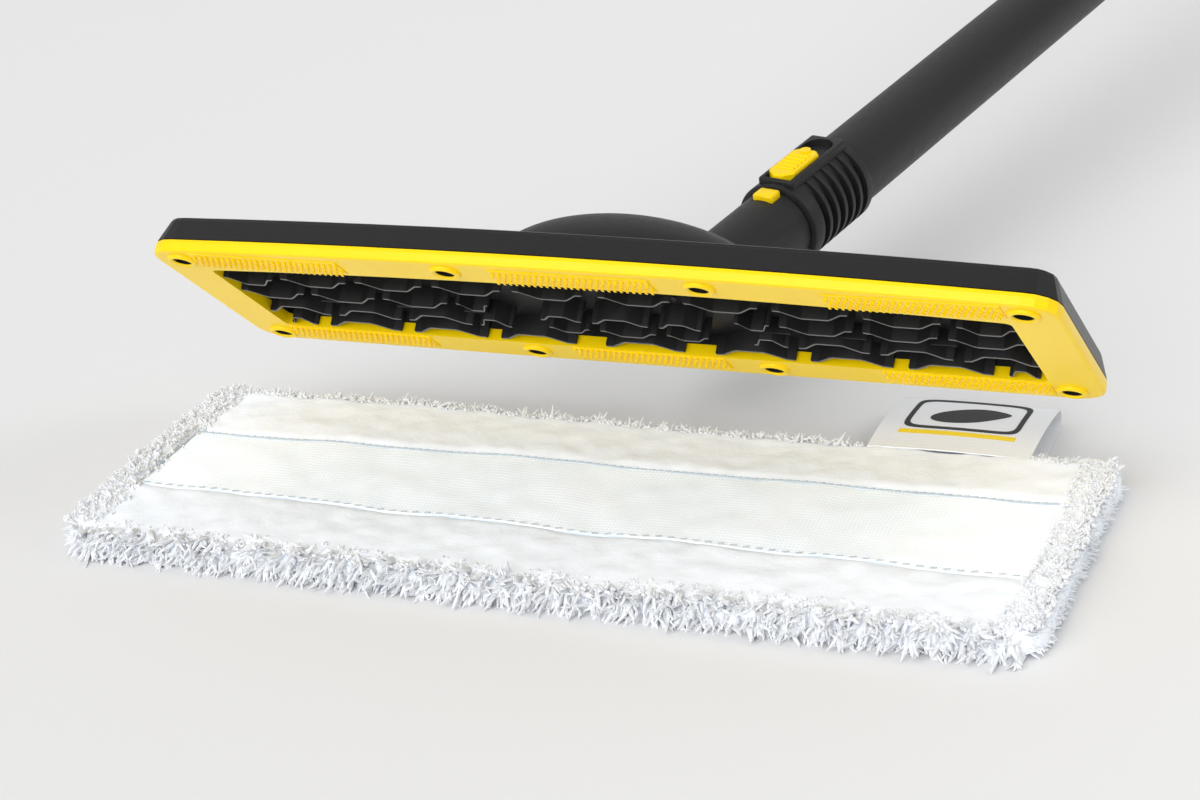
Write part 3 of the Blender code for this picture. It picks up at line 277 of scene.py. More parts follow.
def mix_color(tree, factor, first, second):
    node = tree.nodes.new("ShaderNodeMix")
    node.data_type = "RGBA"
    put(tree, node.inputs[0], factor)
    put(tree, node.inputs[6], first)
    put(tree, node.inputs[7], second)
    return node.outputs[2]


def noise_node(tree, vector, scale, detail, roughness=0.5):
    node = add_node(tree, "ShaderNodeTexNoise", Vector=vector, Scale=scale, Detail=detail)
    node.inputs["Roughness"].default_value = roughness
    return node.outputs["Fac"]


def new_skin(name, build):
    """A shared surface effect: Vector in; Height and Mask out, both from 0 to 1."""
    tree = bpy.data.node_groups.new(name, "ShaderNodeTree")
    tree.interface.new_socket("Vector", in_out="INPUT", socket_type="NodeSocketVector")
    tree.interface.new_socket("Height", in_out="OUTPUT", socket_type="NodeSocketFloat")
    tree.interface.new_socket("Mask", in_out="OUTPUT", socket_type="NodeSocketFloat")
    start = tree.nodes.new("NodeGroupInput")
    end = tree.nodes.new("NodeGroupOutput")
    height, mask = build(tree, start.outputs["Vector"])
    tree.links.new(height, end.inputs["Height"])
    tree.links.new(mask, end.inputs["Mask"])
    return tree


def grain(tree, vector):
    """Fine spark-eroded texture of a moulding."""
    fine = noise_node(tree, vector, 1900, 3, 0.6)
    return calc(tree, "MULTIPLY", fine, fine), noise_node(tree, vector, 420, 3, 0.6)


def moulded(tree, vector):
    """The slow waves of a glossy moulding."""
    return noise_node(tree, vector, 95, 2), noise_node(tree, vector, 30, 3)


def pile(tree, vector):
    """Short fibres of a fleece."""
    cells = add_node(tree, "ShaderNodeTexVoronoi", Vector=vector, Scale=620)
    fibres = noise_node(tree, vector, 1500, 4, 0.7)
    return calc(tree, "ADD", cells.outputs["Distance"], fibres), noise_node(tree, vector, 130, 4, 0.6)


def weave(tree, vector):
    """An open mesh of crossing threads, slightly uneven."""
    bend = noise_node(tree, vector, 45, 2)
    split = add_node(tree, "ShaderNodeSeparateXYZ", Vector=vector)
    waves = []
    for axis, pitch in (("X", 0.0023), ("Y", 0.0032)):
        moved = calc(tree, "ADD", split.outputs[axis], calc(tree, "MULTIPLY", bend, 0.0040))
        wave = calc(tree, "SINE", calc(tree, "MULTIPLY", moved, 2 * math.pi / pitch))
        waves.append(calc(tree, "ABSOLUTE", wave))
    holes = calc(tree, "MULTIPLY", *waves)
    patch = calc(tree, "MULTIPLY", holes, calc(tree, "MULTIPLY", noise_node(tree, vector, 30, 3), 2.0))
    return calc(tree, "SUBTRACT", 1.0, holes), patch


def streaks(tree, vector):
    """Turning marks on steel."""
    stretch = tree.nodes.new("ShaderNodeMapping")
    put(tree, stretch.inputs["Vector"], vector)
    stretch.inputs["Scale"].default_value = (200, 200, 4000)
    lines = noise_node(tree, stretch.outputs["Vector"], 1, 3)
    return lines, noise_node(tree, vector, 300, 3)


SKINS = {
    "grain": new_skin("grain", grain),
    "moulded": new_skin("moulded", moulded),
    "pile": new_skin("pile", pile),
    "weave": new_skin("weave", weave),
    "streaks": new_skin("streaks", streaks),
}


def new_look(name, color, shade, roughness, skin, depth, spread=0.15, metallic=0.0, **sockets):
    """A material whose colour goes to shade, and whose roughness varies by spread, with its skin's mask."""
    material = bpy.data.materials.new(name)
    material.use_nodes = True
    tree = material.node_tree
    shader = tree.nodes["Principled BSDF"]
    place = tree.nodes.new("ShaderNodeTexCoord")
    effect = tree.nodes.new("ShaderNodeGroup")
    effect.node_tree = SKINS[skin]
    tree.links.new(place.outputs["Object"], effect.inputs["Vector"])
    mask = effect.outputs["Mask"]
    tinted = mix_color(tree, mask, (*color, 1.0), (*shade, 1.0))
    tree.links.new(tinted, shader.inputs["Base Color"])
    rough = calc(tree, "ADD", calc(tree, "MULTIPLY", mask, spread), roughness - spread / 2)
    tree.links.new(rough, shader.inputs["Roughness"])
    shader.inputs["Metallic"].default_value = metallic
    for key, value in sockets.items():
        shader.inputs[key.replace("_", " ")].default_value = value
    bump = add_node(tree, "ShaderNodeBump", Height=effect.outputs["Height"], Distance=depth)
    bump.inputs["Strength"].default_value = 0.6
    tree.links.new(bump.outputs["Normal"], shader.inputs["Normal"])
    return material


LOOKS = {
    "yellow": new_look("yellow_gloss", (1.0, 0.70, 0.0), (0.95, 0.64, 0.0), 0.30, "moulded", 0.0001, 0.1,
                       Specular_IOR_Level=0.25, Coat_Weight=0.08, Coat_Roughness=0.12),
    "black": new_look("black_grain", DEEP_BLACK, (0.024, 0.024, 0.025), 0.42, "grain", 0.00022, 0.3,
                      Specular_IOR_Level=0.24),
    "satin": new_look("black_satin", DEEP_BLACK, (0.019, 0.019, 0.020), 0.36, "grain", 0.00004, 0.1,
                      Specular_IOR_Level=0.22),
    "lamella": new_look("lamella_black", (0.010, 0.010, 0.010), (0.018, 0.018, 0.019), 0.50, "grain", 0.00004,
                        Specular_IOR_Level=0.12),
    # Lighter grey for the lamella walls' tips: a painted highlight where the rounded tips catch the light.
    "lamella_painted_highlight": new_look("lamella_painted_highlight", (0.085, 0.085, 0.086), (0.15, 0.15, 0.15), 0.40, "grain", 0.00003),
    # Darker than the black plastic: painted shade for the insides of the screw holes.
    "hole_shade": new_look("painted_hole_shade", (0.006, 0.006, 0.006), (0.010, 0.010, 0.010), 0.60, "grain", 0.00004,
                       Specular_IOR_Level=0.2),
    "steel": new_look("steel", (0.55, 0.55, 0.56), (0.40, 0.40, 0.42), 0.35, "streaks", 0.00002, 0.15, 1.0),
    "dark_steel": new_look("dark_steel", (0.06, 0.06, 0.06), (0.04, 0.04, 0.04), 0.45, "streaks", 0.00002,
                           0.1, 1.0),
    "rubber": new_look("seal_rubber", (0.012, 0.012, 0.012), (0.022, 0.022, 0.022), 0.65, "grain", 0.00005),
    "natural": new_look("natural_plastic", (0.70, 0.69, 0.65), (0.60, 0.59, 0.55), 0.45, "moulded", 0.00005),
    # The tufts' pile is the cloth's shaded copy: greyer than the fleece and without its glow, painted shade.
    "pile": new_look("cloth_pile", (0.89, 0.90, 0.92), (0.80, 0.82, 0.85), 0.95, "pile", 0.00025, 0.05,
                     Specular_IOR_Level=0.1),
    # The fleece is the cloth's lit copy: its faint bluish glow is painted light that lifts the head's shadow
    # and the tan cast on the cloth.
    "fleece": new_look("cloth_fleece", (0.92, 0.935, 0.97), (0.86, 0.885, 0.93), 0.95, "pile", 0.00012, 0.05,
                       Specular_IOR_Level=0.1, Emission_Color=(0.60, 0.80, 1.0, 1.0), Emission_Strength=0.13),
    # The mesh panel's bluish glow is painted light as well, lifting the head's shadow on it.
    "mesh": new_look("cloth_mesh", (0.97, 0.975, 0.99), (0.66, 0.76, 0.83), 0.85, "weave", 0.00015, 0.1,
                     Specular_IOR_Level=0.2, Emission_Color=(0.84, 0.91, 1.0, 1.0), Emission_Strength=0.24),
    "label": new_look("label_satin", (0.90, 0.91, 0.93), (0.84, 0.86, 0.88), 0.45, "weave", 0.00002, 0.1,
                      Specular_IOR_Level=0.3),
    "print_black": new_look("label_print", (0.015, 0.016, 0.018), (0.03, 0.03, 0.03), 0.5, "weave", 0.00002),
    "print_yellow": new_look("label_stripe", (1.0, 0.74, 0.0), (0.95, 0.68, 0.0), 0.5, "weave", 0.00002),
    "thread": new_look("seam_thread", (0.40, 0.47, 0.52), (0.60, 0.67, 0.71), 0.8, "pile", 0.0002),
}

NODE_LOOKS = (
    ("dark_steel", ("sole_screw_", "chamber_screw_")),
    ("steel", ("_screw_", "pin", "clip", "spring", "swivel_washer")),
    ("rubber", ("o_ring", "seal", "gasket", "pitch_washer")),
    ("natural", ("steam_pipe",)),
    ("yellow", ("sole_frame", "slider", "lug")),
    ("satin", ("top_shell",)),
)


def dress_nodes():
    """Gives each CAD node its material and eases the edges of the moulded ones."""
    for name, node in nodes.items():
        found = [look for look, words in NODE_LOOKS if any(word in name for word in words)]
        node.data.materials.clear()
        node.data.materials.append(LOOKS[found[0] if found else "black"])
    for name, width in EASED:
        bevel = nodes[name].modifiers.new("edges", "BEVEL")
        bevel.width = width
        bevel.segments = 2
        bevel.limit_method = "ANGLE"
        bevel.angle_limit = SMOOTH_ANGLE
        bevel.harden_normals = True


# ---------------------------------------------------------------- shapes


def solid(bm, name="solid"):
    """The bmesh as a closed mesh, its face normals turned outward."""
    bmesh.ops.recalc_face_normals(bm, faces=bm.faces)
    mesh = bpy.data.meshes.new(name)
    bm.to_mesh(mesh)
    bm.free()
    return mesh


def new_piece(name, shape, look, body, place=None, stands_for=()):
    """An object from a bmesh or mesh; its place goes into the mesh and it rides its body."""
    mesh = shape if isinstance(shape, bpy.types.Mesh) else solid(shape)
    mesh.name = name
    mesh.transform(place or Matrix())
    mesh.shade_smooth()
    mesh.set_sharp_from_angle(angle=SMOOTH_ANGLE)
    mesh.materials.clear()
    mesh.materials.append(LOOKS[look])
    item = bpy.data.objects.new(name, mesh)
    scene.collection.objects.link(item)
    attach(item, body)
    if stands_for:
        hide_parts(*stands_for)
    return item


def combine(shape, tool, operation="DIFFERENCE"):
    """The first shape with the second cut from it, joined to it or crossed with it."""
    meshes = [item if isinstance(item, bpy.types.Mesh) else solid(item) for item in (shape, tool)]
    items = [bpy.data.objects.new("work", mesh) for mesh in meshes]
    for item in items:
        scene.collection.objects.link(item)
    cut = items[0].modifiers.new("cut", "BOOLEAN")
    cut.operation = operation
    cut.object = items[1]
    bpy.context.view_layer.update()
    found = items[0].evaluated_get(bpy.context.evaluated_depsgraph_get())
    made = bpy.data.meshes.new_from_object(found)
    for item in items:
        bpy.data.objects.remove(item)
    return made


def add_loft(bm, rings):
    """A closed solid through rings of points with equal counts."""
    loops = []
    for points in rings:
        verts = [bm.verts.new(point) for point in points]
        loops.append([bm.edges.new(pair) for pair in zip(verts, verts[1:] + verts[:1])])
    for lower, upper in zip(loops, loops[1:]):
        bmesh.ops.bridge_loops(bm, edges=lower + upper)
    for loop in (loops[0], loops[-1]):
        bmesh.ops.contextual_create(bm, geom=loop)


def loft(rings):
    bm = bmesh.new()
    add_loft(bm, rings)
    return bm


def merge(bm, shape):
    """Adds a copy of another bmesh to bm."""
    mesh = solid(shape)
    bm.from_mesh(mesh)
    bpy.data.meshes.remove(mesh)


def turned(profile, steps=ROUND_STEPS):
    """A piece turned about Z from a profile of radii and heights."""
    bm = bmesh.new()
    verts = [bm.verts.new((radius, 0, height)) for radius, height in profile]
    edges = [bm.edges.new(pair) for pair in zip(verts, verts[1:])]
    if profile[0][0] > 0:
        edges.append(bm.edges.new((verts[-1], verts[0])))
    bmesh.ops.spin(
        bm, geom=verts + edges, cent=(0, 0, 0), axis=(0, 0, 1), angle=2 * math.pi, steps=steps, use_merge=True
    )
    bmesh.ops.remove_doubles(bm, verts=bm.verts, dist=1e-6)
    return bm


def cylinder(radius, low, high, place=None, segments=ROUND_STEPS, top=None):
    bm = bmesh.new()
    bmesh.ops.create_cone(
        bm,
        cap_ends=True,
        segments=segments,
        radius1=radius,
        radius2=radius if top is None else top,
        depth=high - low,
        matrix=(place or Matrix()) @ shift(0, 0, (low + high) / 2),
    )
    return bm


def block(low, high, edge=0.0, place=None):
    """A box between two corners with rounded edges."""
    low = Vector(low)
    high = Vector(high)
    bm = bmesh.new()
    stretch = Matrix.Translation((low + high) / 2) @ Matrix.Diagonal((*(high - low), 1))
    bmesh.ops.create_cube(bm, size=1.0, matrix=stretch)
    if edge:
        bmesh.ops.bevel(
            bm, geom=bm.edges[:], offset=edge, segments=3, profile=0.5, affect="EDGES", material=-1
        )
    bmesh.ops.transform(bm, matrix=place or Matrix(), verts=bm.verts)
    return bm


def at_height(points, height):
    return [(x, y, height) for x, y in points]


def oval(length, width, steps=ROUND_STEPS):
    points = []
    for step in range(steps):
        angle = 2 * math.pi * step / steps
        points.append((length / 2 * math.cos(angle), width / 2 * math.sin(angle)))
    return points


def quarter(centre_x, centre_y, radius, start, steps=8):
    points = []
    for step in range(steps + 1):
        angle = math.radians(start + 90 * step / steps)
        points.append((centre_x + radius * math.cos(angle), centre_y + radius * math.sin(angle)))
    return points


def near_edge_y(x, half, near):
    return -near - NEAR_BOW * (1 - (x / half) ** 2)


def window_outline(inset):
    """The window in the sole: straight far edge and ends, and a near edge bowed outward."""
    half = WINDOW_HALF - inset
    far = FAR_EDGE - RAIL - inset
    near = NEAR_EDGE - RAIL - inset
    radius = WINDOW_CORNER - inset
    bend = half - radius
    low = near_edge_y(bend, half, near) + radius
    points = quarter(bend, far - radius, radius, 0) + quarter(-bend, far - radius, radius, 90)
    points += quarter(-bend, low, radius, 180)
    steps = 24
    for step in range(1, steps):
        x = -bend + 2 * bend * step / steps
        points.append((x, near_edge_y(x, half, near)))
    return points + quarter(bend, low, radius, 270)


# ---------------------------------------------------------------- sole hooks


def field_spans():
    return (
        (-WINDOW_HALF, -WINDOW_HALF + FIELD_OUTER),
        (-FIELD_CENTRE, FIELD_CENTRE),
        (WINDOW_HALF - FIELD_OUTER, WINDOW_HALF),
    )


def hook_mesh():
    """One hook: a stem that leans over into a rounded beak."""
    bm = bmesh.new()
    bmesh.ops.create_cone(
        bm, cap_ends=True, segments=6, radius1=HOOK_RADIUS * 1.25, radius2=HOOK_RADIUS, depth=HOOK_HEIGHT,
        matrix=shift(0, 0, HOOK_HEIGHT / 2),
    )
    uprights = [edge for edge in bm.edges if edge.calc_length() > HOOK_HEIGHT * 0.8]
    bmesh.ops.subdivide_edges(bm, edges=uprights, cuts=3, use_grid_fill=True)
    for vert in bm.verts:
        share = vert.co.z / HOOK_HEIGHT
        vert.co.x += HOOK_REACH * share ** 3
        vert.co.z -= HOOK_HEIGHT * 0.25 * share ** 3
    return solid(bm)


def make_hooks():
    hook = hook_mesh()
    bm = bmesh.new()
    for low, high in field_spans():
        count = int((high - low) / HOOK_PITCH)
        reach = min(abs(low), abs(high)) if low * high > 0 else 0.0
        far = FAR_EDGE - RAIL + WINDOW_WALL
        near = near_edge_y(reach, WINDOW_HALF, NEAR_EDGE - RAIL) - WINDOW_WALL
        for start_y, step_y in ((far - 0.0004, HOOK_ROW_PITCH), (near + 0.0004, -HOOK_ROW_PITCH)):
            for row in range(HOOK_ROWS):
                for index in range(count):
                    x = low + HOOK_PITCH * (index + 0.25 + 0.5 * (row % 2))
                    y = start_y + step_y * (row + 0.3)
                    copy = hook.copy()
                    lay = turn(180, "X") @ turn(random.uniform(-6, 6), "Z")
                    copy.transform(shift(x, y, -FIELD_RISE + GAP) @ lay)
                    bm.from_mesh(copy)
                    bpy.data.meshes.remove(copy)
    new_piece("sole_hooks", bm, "yellow", "head", HEAD)


def screw_places():
    """Centres of the eight screws through the sole."""
    corner = HALF_LENGTH - SCREW_INSET_X
    places = []
    for x in (-corner, -SCREW_MIDDLE_X, SCREW_MIDDLE_X, corner):
        places.append((x, FAR_EDGE - SCREW_INSET_Y))
        places.append((x, near_edge_y(x, HALF_LENGTH, NEAR_EDGE) + SCREW_INSET_Y))
    return places


def make_bosses():
    """Rounded rings about the screws, each with a near-black tube down to the screw's head: painted shade on
    the walls of the screw hole.
    """
    centre = (BOSS_OUTER + BOSS_INNER) / 2
    half = (BOSS_OUTER - BOSS_INNER) / 2
    profile = [(BOSS_INNER, BOSS_FOOT), (BOSS_OUTER, BOSS_FOOT)]
    for step in range(9):
        angle = math.pi * step / 8
        profile.append((centre + half * math.cos(angle), -BOSS_RISE * math.sin(angle)))
    rings = bmesh.new()
    hole_shades = bmesh.new()
    ring = solid(turned(profile, 40))
    dark_wall = solid(
        turned(
            [
                (BOSS_INNER + HOLE_SHADE_WALL, HOLE_SHADE_TOP),
                (BOSS_INNER - HOLE_SHADE_WALL, HOLE_SHADE_TOP),
                (BOSS_INNER - HOLE_SHADE_WALL, RECESS_FLOOR),
                (BOSS_INNER + HOLE_SHADE_WALL, RECESS_FLOOR),
            ],
            32,
        )
    )
    for x, y in screw_places():
        for bm, source in ((rings, ring), (hole_shades, dark_wall)):
            copy = source.copy()
            copy.transform(shift(x, y, 0))
            bm.from_mesh(copy)
            bpy.data.meshes.remove(copy)
    new_piece("boss_rings", rings, "yellow", "head", HEAD)
    new_piece("boss_hole_shades", hole_shades, "hole_shade", "head", HEAD)


# ---------------------------------------------------------------- lamella insert


def lamella_spans():
    """Each wall as its two ends in x, its y and its bow, mirrored about the middle."""
    end = WINDOW_HALF - GAP
    near_y = -NEAR_EDGE + RAIL + NEAR_ROW_INSET
    walls = []
    start = NEAR_ROW_START
    while start + NEAR_ROW_SHORTEST < end:
        finish = min(start + NEAR_ROW_LENGTH, end)
        middle = (start + finish) / 2
        walls.append((start, finish, near_y - NEAR_BOW * (1 - (middle / WINDOW_HALF) ** 2), LAMELLA_BOW))
        start += NEAR_ROW_PITCH
    start = end
    while start > MIDDLE_ROW_END + MIDDLE_ROW_SHORTEST:
        low = max(start - MIDDLE_ROW_LENGTH, MIDDLE_ROW_END)
        lift = MIDDLE_ROW_LIFT * (start / WINDOW_HALF) ** 2
        for y, way in MIDDLE_ROW_Y:
            walls.append((low, start, y + lift, way * LAMELLA_BOW))
        start = low - MIDDLE_ROW_GAP
    far_y = FAR_EDGE - RAIL - LAMELLA_CUT_BACK
    start = FAR_ROW_START
    corner = WINDOW_HALF - WINDOW_CORNER
    while start + FAR_ROW_SHORTEST < corner:
        walls.append((start, min(start + FAR_ROW_LENGTH, corner), far_y, -LAMELLA_BOW))
        start += FAR_ROW_PITCH
    walls += SHORT_WALLS
    walls += [(-high, -low, y, bow) for low, high, y, bow in walls]
    walls += CENTRE_WALLS
    walls.append((-CENTRE_FAR_HALF, CENTRE_FAR_HALF, far_y, -LAMELLA_BOW))
    return walls


def wall_outline(low, high, y, bow, inset):
    """A bowed wall in plan, its tip drawn in by inset."""
    half = LAMELLA_THICKNESS / 2 - inset
    low += inset
    high -= inset
    centre = [(low + (high - low) * share, y + bow * rise) for share, rise in LAMELLA_SHARES]
    outer = [(x, y_at + half) for x, y_at in reversed(centre)]
    return [(x, y_at - half) for x, y_at in centre] + outer


def make_lamellas():
    root = (INSERT_BASE_Z + INSERT_TOP_Z) / 2
    levels = (
        (LAMELLA_TIP, 0.00042),
        (LAMELLA_TIP + 0.00012, 0.00018),
        (LAMELLA_TIP + TIP_ROUND, 0.0),
        (root, 0.0),
    )
    bm = loft([at_height(window_outline(-INSERT_LIP), z) for z in (INSERT_BASE_Z, INSERT_TOP_Z)])
    for span in lamella_spans():
        add_loft(bm, [at_height(wall_outline(*span, inset), z) for z, inset in levels])
    for side in (-1, 1):
        for x in NOTCH_X:
            rib = block((side * x - 0.0040, 0.0030, 0.0022), (side * x + 0.0040, 0.0040, root), 0.0002)
            merge(bm, rib)
    item = new_piece("lamellas", bm, "lamella", "head", HEAD, ("lamella_insert",))
    # Faces near each wall's tip get the lighter grey: a painted highlight along the tips.
    item.data.materials.append(LOOKS["lamella_painted_highlight"])
    back = HEAD.inverted()
    for face in item.data.polygons:
        heights = [(back @ item.data.vertices[index].co).z for index in face.vertices]
        if max(heights) < LAMELLA_TIP + TIP_ROUND * 0.9:
            face.material_index = 1
    inner, outer = LINER_INSETS
    profile = ((inner, LINER_LOW_Z), (inner, root), (outer, root), (outer, LINER_LOW_Z))
    rings = [at_height(window_outline(inset), z) for inset, z in profile]
    dark_wall = bmesh.new()
    loops = []
    for points in rings:
        verts = [dark_wall.verts.new(point) for point in points]
        loops.append([dark_wall.edges.new(pair) for pair in zip(verts, verts[1:] + verts[:1])])
    for first, second in zip(loops, loops[1:] + loops[:1]):
        bmesh.ops.bridge_loops(dark_wall, edges=first + second)
    new_piece("window_liner", dark_wall, "lamella", "head", HEAD)


# ---------------------------------------------------------------- dome, neck, collar and tube


def dome_rings(length, width, low, top, steps=22):
    rings = []
    for step in range(steps):
        angle = math.radians(88) * step / (steps - 1)
        shrink = math.cos(angle)
        height = low + (top - low) * math.sin(angle)
        points = oval(length * shrink, width * shrink)
        rings.append([(x, y + DOME_CENTRE_Y, height) for x, y in points])
    return rings


def make_dome():
    seat = SHELL_TOP + GAP
    outer = loft(dome_rings(DOME_LENGTH, DOME_WIDTH, seat, DOME_TOP))
    thin = 2 * DOME_WALL
    inner = loft(dome_rings(DOME_LENGTH - thin, DOME_WIDTH - thin, seat - GAP, DOME_TOP - DOME_WALL))
    shape = combine(outer, inner)
    slot = block((-ARM_SLOT, PITCH_Y - YOKE_BARREL, seat - 0.002), (ARM_SLOT, FAR_EDGE, DOME_TOP), 0.0006)
    new_piece("dome_cover", combine(shape, slot), "black", "head", HEAD, ("joint_dome",))


def make_neck():
    across = turn(-90, "X")
    shape = cylinder(NECK_BARREL, -TUBE_RADIUS, BARREL_REAR, across)
    body = turned(
        [
            (0.0, 0.0),
            (TUBE_RADIUS, 0.0),
            (TUBE_RADIUS, NECK_LENGTH - 0.0006),
            (TUBE_RADIUS - 0.0006, NECK_LENGTH),
            (TUBE_RADIUS - NECK_WALL, NECK_LENGTH),
            (TUBE_RADIUS - NECK_WALL, 0.0165),
            (0.0, 0.0165),
        ]
    )
    shape = combine(shape, body, "UNION")
    shape = combine(shape, cylinder(CHEEK_CLEAR, -TUBE_RADIUS - GAP, -BARREL_FRONT + GAP, across))
    shape = combine(shape, cylinder(SWIVEL_BORE, -TUBE_RADIUS, BARREL_REAR + GAP, across))
    pocket = lug_block(NECK_LENGTH, GAP)
    new_piece("neck_shell", combine(shape, pocket), "black", "tube", NECK, ("neck",))
    new_piece("neck_key", lug_block(NECK_LENGTH, 0.0, 0.0009), "yellow", "tube", NECK, ("neck_lug",))
    new_piece("tube_key", lug_block(SHOULDER_Z, 0.0, 0.0009), "yellow", "tube", NECK, ("spigot_lug",))


def lug_block(shoulder, extra, edge=0.0):
    high = shoulder - LUG_SETBACK + extra
    low = shoulder - LUG_SETBACK - LUG_LENGTH - extra
    half = LUG_WIDTH / 2 + extra
    top = -TUBE_RADIUS - LUG_RISE - extra
    return block((-half, top, low), (half, -(TUBE_RADIUS - NECK_WALL) + extra, high), edge)


def make_collar():
    fit = TUBE_RADIUS + GAP
    socket = SPIGOT_RADIUS + GAP
    floor_low = RIM_Z + SOCKET_DEPTH
    floor_high = floor_low + SOCKET_FLOOR
    edge = 0.0008
    shape = turned(
        [
            (fit, COLLAR_END_Z),
            (COLLAR_RADIUS - edge, COLLAR_END_Z),
            (COLLAR_RADIUS - edge * 0.3, COLLAR_END_Z - edge * 0.3),
            (COLLAR_RADIUS, COLLAR_END_Z - edge),
            (COLLAR_RADIUS, RIM_Z + edge),
            (COLLAR_RADIUS - edge * 0.3, RIM_Z + edge * 0.3),
            (COLLAR_RADIUS - edge, RIM_Z),
            (socket, RIM_Z),
            (socket, floor_low),
            (PIPE_RADIUS + GAP, floor_low),
            (PIPE_RADIUS + GAP, floor_high),
            (fit, floor_high),
        ]
    )
    for index in range(RIB_COUNT):
        low = RIM_Z + RIB_FIRST + index * RIB_PITCH
        groove = cylinder(COLLAR_RADIUS + 0.002, low, low + RIB_GROOVE)
        outline = oval(2 * (COLLAR_RADIUS - RIB_DEPTH), 2 * (COLLAR_RADIUS + GAP))
        core = loft([at_height(outline, z) for z in (low - GAP, low + RIB_GROOVE + GAP)])
        shape = combine(shape, combine(groove, core))
    half = GUIDE_WIDTH / 2
    top = -COLLAR_RADIUS - GUIDE_RISE
    guide_foot = (half, -SPIGOT_RADIUS - 0.0012, COLLAR_END_Z - 0.0012)
    guide = block((-half, top, RIM_Z + 0.0016), guide_foot, 0.0010)
    shape = combine(shape, guide, "UNION")
    shape = combine(shape, cylinder(fit, floor_high, COLLAR_END_Z + GAP))
    inner = half - GUIDE_RIM
    low = RIM_Z + 0.0028
    high = COLLAR_END_Z - 0.0036
    shape = combine(shape, block((-inner, top - GAP, low), (inner, top + GUIDE_DEPTH, high - inner)))
    stand = shift(0, 0, high - inner) @ turn(90, "X")
    round_end = cylinder(inner - GAP / 10, -top - GUIDE_DEPTH, -top + GAP, stand)
    new_piece("collar_shell", combine(shape, round_end), "black", "tube", NECK, ("collar",))


def make_tube():
    inner = TUBE_RADIUS - TUBE_WALL
    edge = 0.0005
    shape = turned(
        [
            (TUBE_RADIUS - edge, SHOULDER_Z),
            (TUBE_RADIUS, SHOULDER_Z - edge),
            (TUBE_RADIUS, TUBE_START_Z),
            (inner, TUBE_START_Z),
            (inner, SHOULDER_Z),
        ]
    )
    shape = combine(shape, lug_block(SHOULDER_Z, GAP))
    new_piece("tube_shell", shape, "black", "tube", NECK, ("extension_tube",))


# ---------------------------------------------------------------- cloth


def wave(x, y, pitch, size):
    return size * noise.noise((x / pitch, y / pitch, 7.3))


def lie(x, y):
    """How the cloth lies: slow swells."""
    return wave(x, y, 0.060, 0.0012) + wave(x, y, 0.022, 0.0005)


def panel_near(x):
    return -0.0195 - 0.0010 * x / 0.15 + wave(x, 0.0, 0.035, 0.0018)


def panel_far(x):
    return 0.0228 + 0.0028 * x / 0.15 + wave(x, 0.3, 0.035, 0.0016)


def smooth_step(value):
    value = max(0.0, min(1.0, value))
    return value * value * (3 - 2 * value)


def panel_depth(x, y):
    """Distance into the mesh panel from its nearest edge; negative on the fleece."""
    return min(y - panel_near(x), panel_far(x) - y, x - PANEL_LEFT, PANEL_RIGHT - x)


def rounded(x, y, half_x, half_y, radius):
    """Draws a point near a rectangle's corner in onto a round corner."""
    dx = abs(x) - (half_x - radius)
    dy = abs(y) - (half_y - radius)
    if dx <= 0 or dy <= 0:
        return x, y
    share = max(dx, dy) / math.hypot(dx, dy)
    x = math.copysign(half_x - radius + dx * share, x)
    y = math.copysign(half_y - radius + dy * share, y)
    return x, y


def fleece_top(x, y):
    """Height of the fleece over the floor of the cloth's frame."""
    depth = panel_depth(x, y)
    band = smooth_step(0.30 - depth / 0.006)
    puff = BAND_RISE * band + wave(x, y, 0.007, 0.0006) * band + wave(x, y, 0.0028, 0.0002) * band
    end = smooth_step((abs(x + 0.001) - 0.1470) / 0.005)
    return lie(x, y) + puff - 0.0012 * (1 - band) + 0.0014 * end


def make_pad():
    half_x = CLOTH_LENGTH / 2
    half_y = CLOTH_WIDTH / 2
    bm = bmesh.new()
    bmesh.ops.create_grid(
        bm, x_segments=260, y_segments=90, size=0.5, matrix=Matrix.Diagonal((CLOTH_LENGTH, CLOTH_WIDTH, 1, 1))
    )
    lower = bmesh.ops.extrude_face_region(bm, geom=bm.faces[:], use_keep_orig=True)
    bottom = {item for item in lower["geom"] if isinstance(item, bmesh.types.BMVert)}
    for vert in bm.verts:
        x, y = vert.co.x, vert.co.y
        rim = min(half_x - abs(x), half_y - abs(y))
        x, y = rounded(x, y, half_x, half_y, CLOTH_CORNER)
        edge = 0.0035 * (1 - smooth_step(rim / 0.0045))
        x += wave(x, y, 0.018, 0.0010)
        y += wave(y, x, 0.018, 0.0012)
        if vert in bottom:
            vert.co = (x, y, -CLOTH_THICKNESS + edge * 0.5)
        else:
            vert.co = (x, y, fleece_top(x, y) - edge)
    pad = new_piece("cloth_body", bm, "fleece", "cloth", CLOTH, ("cloth_pad",))
    return pad


def make_panel():
    bm = bmesh.new()
    bmesh.ops.create_grid(bm, x_segments=240, y_segments=36, size=0.5)
    for vert in bm.verts:
        x = PANEL_LEFT + (PANEL_RIGHT - PANEL_LEFT) * (vert.co.x + 0.5)
        near = panel_near(x)
        far = panel_far(x)
        y = near + (far - near) * (vert.co.y + 0.5)
        vert.co = (x, y, lie(x, y) + wave(x, y, 0.010, 0.0005))
    bmesh.ops.solidify(bm, geom=bm.faces[:], thickness=PANEL_THICKNESS)
    return new_piece("cloth_mesh", bm, "mesh", "cloth", CLOTH, ("cloth_panel",))


